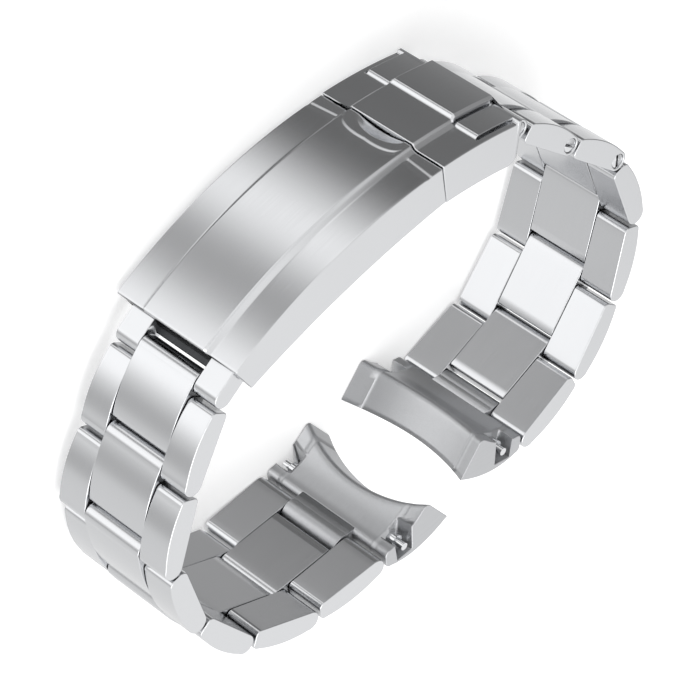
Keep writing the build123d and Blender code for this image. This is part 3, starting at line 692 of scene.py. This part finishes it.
def cover_rings(sizes):
    """The cover's section carried round the clasp's curve, as rings of radius, angle and height.

    The walls' lower part is stretched to the lower edge's radius at each angle. The outer skin is
    lowered by a shallow cosine groove, which runs beside the seam and in an arc round the finger
    recess, and by the recess itself, a shallow dish inside an ellipse at the seam, whose depth
    falls with the square of the distance from its middle.
    """
    reference = sizes["radius"] - sizes["depth_middle"]
    outline = cover_outline(sizes, reference)
    # Rings lie closer together near the seam, where the groove and the recess are
    end_round, near_seam, spacing = 0.2, 6.4, 0.11
    inset, rise = edge_steps(end_round)
    total = 2 * sizes["half_span"] * sizes["radius"]
    fine = total - np.arange(end_round, near_seam, spacing)[::-1]
    coarse = np.linspace(2 * end_round, fine[0], 60)[:-1]
    reach = np.concatenate([rise, coarse, fine, total - rise[::-1]])
    section = drawn_in(outline, np.concatenate([inset, np.zeros(len(coarse) + len(fine)), inset[::-1]]))
    radius = section[..., 0]
    height = section[..., 1]
    away = np.abs(height)

    def turn_at(radius):
        """Angle of each point, as its ring's share of the way from the cover's start to the leaning seam."""
        start = -sizes["half_span"]
        return start + (seam_angle(sizes, radius, 0.0) - start) * (reach / total)[:, None]

    turn = turn_at(radius)
    # The walls are stretched from a fold a little under the top's inner face
    fold = sizes["radius"] - sizes["cover_top"] - 0.4
    stretch = (fold - wall_bottom(sizes, turn)) / (fold - reference)
    radius = np.where(radius < fold, fold - (fold - radius) * stretch, radius)
    back = (total - reach)[:, None]
    # The groove slants away from the seam towards the flanks and fades out at the band's slope
    slant, slope_middle, slope_reach = 0.1, 0.15, 0.4
    round_recess = np.sqrt(np.clip(1 - (height / sizes["recess"]) ** 2, 0, 1))
    crease = back - sizes["crease"] - slant * away - sizes["crease_round"] * round_recess
    groove = np.clip(np.abs(crease) / sizes["crease_width"], 0, 1)
    beside_slope = 1 - np.exp(-((away - sizes["band_width"] / 2 - slope_middle) / slope_reach) ** 2)
    depth = sizes["crease_depth"] * (1 + np.cos(np.pi * groove)) / 2 * beside_slope
    ellipse = ((height - sizes["pocket_middle"]) / sizes["pocket"]) ** 2 + (back / sizes["pocket_reach"]) ** 2
    depth = depth + sizes["pocket_depth"] * np.clip(1 - ellipse, 0, 1)
    skin_depth = 0.3
    outer_skin = radius > sizes["radius"] - skin_depth
    radius = np.where(outer_skin, radius - depth, radius)
    # The seam lies on its plane at the new radius too
    return radius, np.where(outer_skin, turn_at(radius), turn), height


def catch_outline(sizes, part):
    """Cross-section of the catch: its front, its grooved back, or its closed end.

    All have the same corners in the same order, so a ring of one joins a ring of another. From the
    middle out, the upper corners are the band or the stem and its foot, the groove beside it, the
    side panel, the groove beside that, and the border.
    """
    top = sizes["radius"] + sizes["catch_lift"]
    band = top + sizes["band_height"]
    panel = top + sizes["panel_raise"]
    stem = band + sizes["stem_raise"]
    groove = sizes["groove_depth"]
    inside = top - sizes["plate"]
    low = top - sizes["skirt_depth"]
    half = sizes["width"] / 2
    inner = half - sizes["skirt"]
    crisp, hollow, within = 0.12, 0.5, 0.2
    levels = {
        "front": [band, band, top + 0.2] + [top] * 7,
        "back": [stem, stem - STEM_BEVEL, panel - groove, panel - groove, panel, panel,
                 top - groove, top - groove, top, top],
        "end": [stem, stem - STEM_BEVEL] + [panel] * 8,
    }[part]
    places = [4.55, 4.85, 4.9, 5.15, 5.18, inner - 0.33, inner - 0.3, inner - 0.02, inner, half]
    radii = [crisp, crisp, 0.04, 0.04, 0.07, 0.07, 0.03, 0.03, 0.05, sizes["edge"]]
    if part == "front":
        places[:5] = [4.55, 4.7, 4.92, 5.4, 5.6]
        radii[:4] = [crisp, crisp, hollow, hollow]
    right = list(zip(levels, places)) + [(low, half), (low, inner), (inside, inner)]
    corners = right + [(radius, -height) for radius, height in right[::-1]]
    radii = radii + [crisp, crisp, within]
    return rounded(corners, radii + radii[::-1], 6)


def catch_rings(sizes):
    """The catch's sections carried from the seam to its end, as rings of radius, angle and height."""
    end_round = 0.13
    inset, rise = edge_steps(end_round)
    front, back, end = (catch_outline(sizes, part) for part in ("front", "back", "end"))
    top = sizes["radius"] + sizes["catch_lift"]
    low = top - sizes["skirt_depth"]
    first = seam_angle(sizes, top, sizes["seam_gap"])
    step = sizes["step"]
    grooves = sizes["groove_end"]
    last = sizes["catch_end"]
    per_mm = 1 / top
    bevel = STEM_BEVEL * per_mm
    # The step goes up to the bevel's foot at once, and on to the full height along the bevel
    bevelled = np.where(back[:, 0] > front[:, 0], np.maximum(back[:, 0] - STEM_BEVEL, front[:, 0]), back[:, 0])
    lowered = np.stack([bevelled, back[:, 1]], 1)

    def even(outline, start, stop, count):
        """Rings of one section at even angles."""
        return [(turn, outline, 0.0) for turn in np.linspace(start, stop, count)]

    # Millimetres beside a place: 0.02 and 0.03 leave a face upright, 0.1 to 0.3 keep clear of a rounding
    plan = [(first + away * per_mm, front, draw) for draw, away in zip(inset, rise)]
    plan += even(front, first + 0.3 * per_mm, step - 0.2 * per_mm, 24)
    plan += [(step, front, 0.0), (step + 0.03 * per_mm, lowered, 0.0), (step + bevel, back, 0.0)]
    plan += even(back, step + 2 * bevel, grooves, 12)
    plan += [(grooves + 0.02 * per_mm, end, 0.0)]
    plan += even(end, grooves + 0.1 * per_mm, last - 0.2 * per_mm, 4)
    plan += [(last - away * per_mm, end, draw) for draw, away in zip(inset[::-1], rise[::-1])]
    section = np.concatenate([drawn_in(outline, draw) for _, outline, draw in plan])
    radius = section[..., 0]
    away = np.abs(section[..., 1])
    turn = np.array([turn for turn, _, _ in plan])[:, None]
    # The band's front dips a little towards the seam, less towards the band's edges
    band_edge, band_fade = 4.6, 1.5
    ahead = np.clip(1 - (turn - first) * top / sizes["dip_length"], 0, 1)
    in_band = np.clip((band_edge - away) / band_fade, 0, 1)
    radius = np.where(radius > top, radius - sizes["dip"] * (1 - np.cos(np.pi * ahead)) / 2 * in_band, radius)
    # The plate's inner face is eased off at both ends, clear of the upper blade and of the first row
    behind = np.clip(1 - (last - turn) * top / sizes["dip_length"], 0, 1)
    skin_depth, within = 0.3, 0.25
    inner_face = (radius < top - skin_depth) & (radius > top - sizes["plate"] - within)
    radius = radius + sizes["ease"] * np.maximum(ahead, behind) * inner_face
    # Near the seam each point keeps its distance from the leaning plane, and under the plate a larger one
    more_gap, beside_skirt = 0.2, 0.1
    share_left = np.clip((step - turn) / (step - first), 0, 1)
    under_plate = away < sizes["width"] / 2 - sizes["skirt"] - beside_skirt
    gap = sizes["seam_gap"] + more_gap * np.clip((top - radius) / sizes["plate"], 0, 1) * under_plate
    turn = turn + (seam_angle(sizes, radius, gap) - first) * share_left
    # The skirts' back corners are rounded off, and the rounding's lift fades out above the lower edge
    corner = sizes["skirt_corner"]
    lift_fade = 2.5
    over = np.clip(corner - (last - turn) * low, 0, corner)
    lift = corner - np.sqrt(corner ** 2 - over ** 2)
    return radius + lift * np.clip((low + lift_fade - radius) / lift_fade, 0, 1), turn, section[..., 1]


def clasp_skin(sizes, radius, turn, height):
    """Points and grain from radius, angle and height round the clasp's axis."""
    x, y = clasp_centre(sizes)
    points = np.stack([x + radius * np.sin(turn), y + radius * np.cos(turn), MID_Z + height], -1)
    grain = np.stack([turn * sizes["radius"], radius, height], -1)
    return skin(points, grain)


def end_outlines(sizes, heights, notched):
    """Sections of an end link at several heights, each with its own cut by the case.

    The case is a cylinder whose axis leans in the section's plane, so at height z it cuts the
    section along a line shifted back by sqrt(R * R - z * z) - sqrt(R * R - half * half). The
    outer and the inner curve each end where they reach that line.
    """
    fillet = sizes["fillet"]
    join = sizes["start"] + fillet
    top = sizes["shoulder_top"]
    tip = np.array([sizes["tip_reach"], sizes["tip_height"]])
    # Outer curve, from the shoulder to the tip: the parabola through three points
    t = np.linspace(0, 1, 60)[:, None]
    begin = np.array([join, top])
    middle = np.array([(sizes["start"] + tip[0]) / 2, top + sizes["outer_arch"]])
    outer = bend(begin, 2 * middle - (begin + tip) / 2, tip, t)
    # Inner curve, from the crest over the valley to the shoulder, as two cubic runs
    crest = np.array([sizes["crest_reach"], -sizes["crest_depth"]])
    valley = np.array([sizes["valley_reach"], -sizes["valley_depth"]])
    shoulder = np.array([join, -sizes["shoulder_depth"]])
    at_crest, at_valley, at_shoulder = np.array([[-3.6, 3.6], [-3.4, 0.5], [-1.9, 0.0]])
    inner = np.vstack([cubic(crest, valley, at_crest, at_valley, t)[:-1],
                       cubic(valley, shoulder, at_valley, at_shoulder, t)])[::-1]
    lean = sizes["case_lean"]
    away = np.array([np.cos(lean), -np.sin(lean)])
    flat = np.sqrt(sizes["case_radius"] ** 2 - (sizes["lug_width"] / 2) ** 2)
    cut_line = flat - np.sqrt(sizes["case_radius"] ** 2 - heights ** 2)

    def up_to_cut(curve, count):
        """The curve's start up to the cut line, as count points at each height."""
        place = np.linspace(0, 1, len(curve))
        rising = np.maximum.accumulate((curve - tip) @ away)
        last = np.interp(cut_line, rising + np.arange(len(curve)) * 1e-9, place)
        where = last[:, None] * np.linspace(0, 1, count)[None]
        return np.stack([np.interp(where, place, curve[:, 0]), np.interp(where, place, curve[:, 1])], -1)

    outer_points = up_to_cut(outer, 26)
    inner_points = up_to_cut(inner, 40)[:, ::-1]
    # The crest is bent round, from a point on the hollow face to the fifth point of the inner curve
    share_on = np.linspace(0, 1, 8)[None, :, None]
    high_end = outer_points[:, -1:]
    low_end = inner_points[:, :1]
    crest_head = low_end + (high_end - low_end) * sizes["crest_round"] / sizes["crest_depth"]
    crest_bend = bend(crest_head, low_end, inner_points[:, 4:5], share_on)
    wall_points = high_end * (1 - share_on[:, 1:-1]) + crest_head * share_on[:, 1:-1]
    # The notch: between its start and end the inner curve goes up to the notch's floor
    reach = inner_points[..., 0]
    in_notch = notched[:, None] & (reach >= sizes["notch_start"]) & (reach <= sizes["notch_end"])
    inner_points = np.stack([reach, np.where(in_notch, sizes["notch_floor"], inner_points[..., 1])], -1)
    low_corner = arc((join, -sizes["shoulder_depth"] + fillet), fillet, -90, -180, 9)[1:]
    high_corner = arc((join, top - fillet), fillet, 180, 90, 9)[:-1]
    corners = np.vstack([low_corner, high_corner])
    corners = np.broadcast_to(corners, (len(heights), *corners.shape))
    return np.concatenate([outer_points, wall_points, crest_bend, inner_points[:, 5:], corners], 1)


class BRACELET_OT_link_centres(bpy.types.Operator):
    """Make the centre piece of each row."""

    bl_idname = "bracelet.link_centres"
    bl_label = "Link centres"

    def execute(self, context):
        sizes = in_mm(context.scene.link_sizes)
        tube = in_mm(context.scene.end_link_sizes)["tube"]
        half = sizes["centre_width"] / 2
        for side in ("left", "right"):
            for number, body, seat in row_seats(side):
                outline = centre_outline(sizes, tube if number == ROWS else sizes["centre_knuckle"])
                rings = carried(outline, -half, half, sizes["edge"])
                name = f"{side}_link_{number}_centre"
                add_piece(f"{name}_steel", [skin(seat.place(rings), rings)], body, [name])
        return {"FINISHED"}


class BRACELET_OT_link_sides(bpy.types.Operator):
    """Make the two side pieces of each row, with counterbores where slotted heads sit."""

    bl_idname = "bracelet.link_sides"
    bl_label = "Link sides"

    def execute(self, context):
        sizes = in_mm(context.scene.link_sizes)
        outline = side_outline(sizes)
        inner = sizes["centre_width"] / 2 + sizes["side_play"]
        pitch = sizes["pitch"]
        for side in ("left", "right"):
            for number, body, seat in row_seats(side):
                flank = lambda reach: half_width(sizes, number, reach)
                upper = carried(outline, inner, flank, sizes["edge"])
                lower = carried(outline, lambda reach: -flank(reach), -inner, sizes["edge"])
                has_screw = number <= SCREW_ROWS
                if has_screw:
                    upper = bored(upper, (pitch, 0.0), head_bore(sizes, flank, flank(pitch), inner))
                name = f"{side}_link_{number}_sides"
                add_piece(f"{name}_steel", [skin(seat.place(upper), upper, has_screw),
                                            skin(seat.place(lower), lower)], body, [name])
        return {"FINISHED"}


class BRACELET_OT_half_links(bpy.types.Operator):
    """Make the half link at each end of the clasp: two plates, and a tube and a web between the left ones."""

    bl_idname = "bracelet.half_links"
    bl_label = "Half links"

    def execute(self, context):
        sizes = in_mm(context.scene.link_sizes)
        thick = sizes["knuckle"]
        inner = sizes["centre_width"] / 2 + sizes["side_play"]
        outer = sizes["half_width"] / 2
        for side in ("left", "right"):
            seat, reach = half_link_seat(side)
            if side == "left":
                # The web runs from the tube's lower side towards the first row, and both go into the plates
                low, high, into_plate, tube_inset, edge = -1.1, -0.3, 0.3, 0.01, 0.02
                end = reach - sizes["centre_knuckle"] - sizes["web_gap"]
                web = rounded([(0.0, low), (end, low), (end, high), (0.0, high)], [0.05, 0.15, 0.15, 0.05])
                tube = arc((0, 0), thick - tube_inset, 0, 352.5, 48)
                parts = [carried(part, -inner - into_plate, inner + into_plate, edge) for part in (tube, web)]
                # The tube and web are a real part, and their dark colour is painted shade that darkens the gap
                # under the clasp's end
                add_piece("left_half_link_web_steel", [skin(seat.place(part), part) for part in parts],
                          "left_half", ["left_half_link"], finish="drawn_stainless_steel")
            outline = np.vstack([
                arc((0, 0), thick, 90, 270, 25), np.linspace((0, -thick), (reach, -thick), 8)[1:-1],
                arc((reach, 0), thick, -90, 90, 25), np.linspace((reach, thick), (0, thick), 8)[1:-1]])
            upper = bored(carried(outline, inner, outer, sizes["edge"]), (reach, 0.0),
                          head_bore(sizes, outer, outer, inner))
            lower = carried(outline, -outer, -inner, sizes["edge"])
            add_piece(f"{side}_half_link_steel", [skin(seat.place(upper), upper, True),
                                                  skin(seat.place(lower), lower)],
                      f"{side}_half", [f"{side}_half_link"])
        return {"FINISHED"}


class BRACELET_OT_screws(bpy.types.Operator):
    """Make the slotted screws of the half links and of the first rows."""

    bl_idname = "bracelet.screws"
    bl_label = "Screws"

    def execute(self, context):
        sizes = in_mm(context.scene.link_sizes)
        pitch = sizes["pitch"]
        for side, turns in SLOT_TURNS.items():
            places = [(f"{side}_half_link_screw", f"{side}_half", *half_link_seat(side),
                       sizes["half_width"] / 2)]
            places += [(f"{side}_link_{number}_screw", body, seat, pitch, half_width(sizes, number, pitch))
                       for number, body, seat in row_seats(side)[:SCREW_ROWS]]
            for (name, body, seat, reach, flank), turn in zip(places, turns):
                # The shank's far end lies a millimetre inside the other flank
                skins = screw_skins(seat, sizes, reach, 1.0 - flank, flank - sizes["head_sink"], turn)
                add_piece(f"{name}_steel", skins, body, [name], "polished_stainless_steel")
        return {"FINISHED"}


class BRACELET_OT_end_links(bpy.types.Operator):
    """Make the curved end links with their rolled tab, hollow face and notches."""

    bl_idname = "bracelet.end_links"
    bl_label = "End links"

    def execute(self, context):
        sizes = in_mm(context.scene.link_sizes) | in_mm(context.scene.end_link_sizes)
        half = sizes["lug_width"] / 2
        notch = half - sizes["notch_depth"]
        inset, rise = edge_steps(sizes["edge"])
        beside_notch = 0.8
        low = np.concatenate([-half + rise, [-notch - beside_notch, -notch]])
        heights = np.concatenate([low, np.linspace(-notch, notch, 45), -low[::-1]])
        # The outermost sections of the middle stand on the notches' walls and have no notch
        notched = np.abs(heights) >= notch
        notched[[len(low), -len(low) - 1]] = False
        draw = np.concatenate([inset, np.zeros(len(heights) - 2 * len(inset)), inset[::-1]])
        outlines = end_outlines(sizes, heights, notched)
        # The edge rounding fades out at the notch's corners, but not on the outer curve above them
        fade_reach, over_floor = 0.4, 0.1
        reach = outlines[..., :1]
        corner_away = np.minimum(abs(reach - sizes["notch_start"]), abs(reach - sizes["notch_end"]))
        fade = np.clip(corner_away / fade_reach, 0, 1)
        fade[outlines[..., 1:] > sizes["notch_floor"] + over_floor] = 1.0
        outlines = np.stack([outline + inward(outline) * amount * share_left
                             for outline, amount, share_left in zip(outlines, draw, fade)])
        levels = np.broadcast_to(heights[:, None, None], (*outlines.shape[:2], 1))
        rings = np.concatenate([outlines, levels], 2)
        # The tab is a tube that runs into the end link a hair below its faces
        tube = sizes["tube"]
        top = sizes["shoulder_top"]
        deep = sizes["shoulder_depth"]
        join = sizes["start"] + sizes["fillet"]
        first = np.degrees(np.arcsin(top / tube))
        last = 360 - np.degrees(np.arcsin(deep / tube))
        hair, tab_edge = 0.01, 0.1
        tab = np.vstack([arc((0, 0), tube, first, last, 40), [(join, -deep + hair), (join, top - hair)]])
        tab_rings = carried(tab, -sizes["centre_width"] / 2, sizes["centre_width"] / 2, tab_edge)
        for side, turn in (("left", sizes["left_turn"]), ("right", sizes["right_turn"])):
            seat = Seat(hinges[f"{side}_end_hinge"], (np.cos(turn), np.sin(turn)), side == "left")
            skins = [skin(seat.place(part), part) for part in (rings, tab_rings)]
            add_piece(f"{side}_end_link_steel", skins, f"{side}_end", [f"{side}_end_link"],
                      finish="belt_finished_stainless_steel")
        return {"FINISHED"}


class BRACELET_OT_cover(bpy.types.Operator):
    """Make the clasp cover with its band, its finger recess and the two arms that carry the catch."""

    bl_idname = "bracelet.cover"
    bl_label = "Clasp cover"

    def execute(self, context):
        sizes = in_mm(context.scene.clasp_sizes)
        skins = [clasp_skin(sizes, *cover_rings(sizes))]
        edge = 0.06
        outer = sizes["width"] / 2 - sizes["skirt"] - sizes["arm_play"]
        inner = outer - sizes["arm"]
        turn = sizes["pivot_angle"]
        pivot = sizes["radius"] - sizes["pivot_drop"]
        under_plate = sizes["radius"] + sizes["catch_lift"] - sizes["plate"] - sizes["arm_play"]
        boss = arc((pivot * np.sin(turn), pivot * np.cos(turn)), sizes["boss"], 0, 350, 36)
        for low_z, high_z in ((inner, outer), (-outer, -inner)):
            arm = arc_block(sizes["arm_start"], turn, pivot - sizes["boss"], under_plate, low_z, high_z, edge)
            skins += [on_clasp(sizes, arm), on_clasp(sizes, carried(boss, low_z, high_z, edge))]
        add_piece("clasp_cover_steel", skins, "cover", ["clasp_cover"], finish="brushed_stainless_sheet")
        return {"FINISHED"}


class BRACELET_OT_catch(bpy.types.Operator):
    """Make the safety catch with its raised back part."""

    bl_idname = "bracelet.catch"
    bl_label = "Safety catch"

    def execute(self, context):
        sizes = in_mm(context.scene.clasp_sizes)
        add_piece("safety_catch_steel", [clasp_skin(sizes, *catch_rings(sizes))], "catch", ["safety_catch"],
                  finish="brushed_stainless_sheet")
        return {"FINISHED"}


class BRACELET_OT_inner_parts(bpy.types.Operator):
    """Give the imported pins, bars, rivets and blades their finish."""

    bl_idname = "bracelet.inner_parts"
    bl_label = "Pins, bars and blades"

    def execute(self, context):
        for name, piece in frame["nodes"].items():
            finish = "brushed_stainless_steel" if "blade" in name else "polished_stainless_steel"
            piece.data.materials.clear()
            piece.data.materials.append(steel(finish))
        return {"FINISHED"}


class BRACELET_OT_stage(bpy.types.Operator):
    """Make the floor, the light round the bracelet and the camera."""

    bl_idname = "bracelet.stage"
    bl_label = "Stage"

    def execute(self, context):
        scene = context.scene
        settings = scene.studio_settings
        # The floor lies a hair below the bracelet, and is a grid of two by two points
        half = settings.floor_width / 2
        below = -0.00005
        x, y = np.meshgrid([-half, half], [-half, half])
        points = np.stack([x, y, np.full_like(x, below)], -1).reshape(-1, 3)
        mesh = bpy.data.meshes.new("floor")
        mesh.from_pydata(points.tolist(), [], [(0, 1, 3, 2)])
        floor = bpy.data.objects.new("floor", mesh)
        scene.collection.objects.link(floor)
        # Matt white sweep: it glows for the camera, so that it is white, and its matt part takes the shadow
        material, tree, shader = new_material("matt_white_floor")
        shader.inputs["Base Color"].default_value = settings.floor
        shader.inputs["Roughness"].default_value = 0.9
        shader.inputs["Emission Color"].default_value = (1.0, 1.0, 1.0, 1.0)
        path = node(tree, "ShaderNodeLightPath")
        seen = node(tree, "ShaderNodeMath", {"operation": "MAXIMUM"},
                    links={0: path.outputs["Is Camera Ray"], 1: path.outputs["Is Glossy Ray"]})
        glow = node(tree, "ShaderNodeMath", {"operation": "MULTIPLY"}, {1: 0.35}, {0: seen.outputs[0]})
        tree.links.new(glow.outputs[0], shader.inputs["Emission Strength"])
        mesh.materials.append(material)
        floor.visible_glossy = False
        self.light(scene)
        self.camera(scene)
        scene.view_settings.view_transform = "Standard"
        return {"FINISHED"}

    def light(self, scene):
        """White all round for the camera. Steel sees a white tent with grey screens low behind the clasp."""
        world = bpy.data.worlds.new("light_tent")
        scene.world = world
        world.use_nodes = True
        tree = world.node_tree
        back = tree.nodes["Background"]
        back.inputs["Color"].default_value = (1.0, 1.0, 1.0, 1.0)
        place = node(tree, "ShaderNodeTexCoord")
        parts = node(tree, "ShaderNodeSeparateXYZ", links={"Vector": place.outputs["Generated"]})
        turn = node(tree, "ShaderNodeMath", {"operation": "ARCTAN2"},
                    links={0: parts.outputs["Y"], 1: parts.outputs["X"]})
        across = node(tree, "ShaderNodeMapRange", inputs={"From Min": -np.pi, "From Max": np.pi},
                      links={"Value": turn.outputs[0]})
        ramp = node(tree, "ShaderNodeValToRGB", links={"Fac": across.outputs["Result"]})
        stops = ramp.color_ramp.elements
        for stop, (compass, _) in zip(stops, (TENT[0], TENT[-1])):
            stop.position = (compass + 180) / 360
        for compass, _ in TENT[1:-1]:
            stops.new((compass + 180) / 360)
        for stop, (_, level) in zip(stops, TENT):
            stop.color = (*[level / TENT_TOP] * 3, 1.0)
        low = node(tree, "ShaderNodeMath", {"operation": "MULTIPLY"}, {1: TENT_TOP}, {0: ramp.outputs["Color"]})
        height = node(tree, "ShaderNodeMapRange", {"interpolation_type": "SMOOTHSTEP"},
                      {"From Min": -0.3, "From Max": 0.05}, {"Value": parts.outputs["Z"]})
        # A grey screen leans over the catch's end of the tent
        overhead = node(tree, "ShaderNodeMapRange", {"interpolation_type": "SMOOTHSTEP"},
                        {"From Min": 0.32, "From Max": 0.62, "To Min": 1.05, "To Max": 0.35},
                        {"Value": parts.outputs["X"]})
        tent = node(tree, "ShaderNodeMix", {"data_type": "FLOAT"}, links={
            "Factor": height.outputs["Result"], "A": low.outputs[0], "B": overhead.outputs["Result"]})
        path = node(tree, "ShaderNodeLightPath")
        level = node(tree, "ShaderNodeMix", {"data_type": "FLOAT"}, {"B": 1.0},
                     {"Factor": path.outputs["Is Camera Ray"], "A": tent.outputs["Result"]})
        tree.links.new(level.outputs["Result"], back.inputs["Strength"])
        lamp = bpy.data.lights.new("soft_box", "AREA")
        lamp.shape = "RECTANGLE"
        lamp.size = 0.5
        lamp.size_y = 0.35
        lamp.energy = 1.2
        box = bpy.data.objects.new("soft_box", lamp)
        box.location = (-0.25, -0.1, 0.5)
        box.rotation_euler = (0.2, -0.45, 0.0)
        scene.collection.objects.link(box)

    def camera(self, scene):
        """A long lens at the photograph's viewing angle."""
        lens = bpy.data.cameras.new("camera")
        lens.sensor_width = 36.0
        lens.lens = 183.8
        lens.clip_start = 0.01
        view = bpy.data.objects.new("camera", lens)
        view.location = (-0.123623, 0.322338, 0.2273)
        view.rotation_euler = Euler(np.radians((-41.37365, -44.82764, -17.90539)).tolist())
        scene.collection.objects.link(view)
        scene.camera = view


MAKERS = (
    BRACELET_OT_link_centres,
    BRACELET_OT_link_sides,
    BRACELET_OT_half_links,
    BRACELET_OT_screws,
    BRACELET_OT_end_links,
    BRACELET_OT_cover,
    BRACELET_OT_catch,
    BRACELET_OT_inner_parts,
    BRACELET_OT_stage,
)


class BRACELET_PT_panel(bpy.types.Panel):
    """The bracelet's makers in the sidebar."""

    bl_idname = "BRACELET_PT_panel"
    bl_label = "Link bracelet"
    bl_space_type = "VIEW_3D"
    bl_region_type = "UI"
    bl_category = "Bracelet"

    def draw(self, context):
        for maker in MAKERS:
            self.layout.operator(maker.bl_idname)


GROUPS = {"link_sizes": LinkSizes, "end_link_sizes": EndLinkSizes, "clasp_sizes": ClaspSizes,
          "steel_looks": SteelLooks, "studio_settings": StudioSettings}


def register():
    """Register the property groups, the makers and the panel."""
    for name, group in GROUPS.items():
        bpy.utils.register_class(group)
        setattr(bpy.types.Scene, name, PointerProperty(type=group))
    for maker in MAKERS:
        bpy.utils.register_class(maker)
    bpy.utils.register_class(BRACELET_PT_panel)


def unregister():
    """Undo what register did."""
    bpy.utils.unregister_class(BRACELET_PT_panel)
    for maker in reversed(MAKERS):
        bpy.utils.unregister_class(maker)
    for name, group in GROUPS.items():
        delattr(bpy.types.Scene, name)
        bpy.utils.unregister_class(group)


def main():
    """Make every piece in order."""
    register()
    for maker in MAKERS:
        family, action = maker.bl_idname.split(".")
        getattr(getattr(bpy.ops, family), action)()


if __name__ == "__main__":
    main()
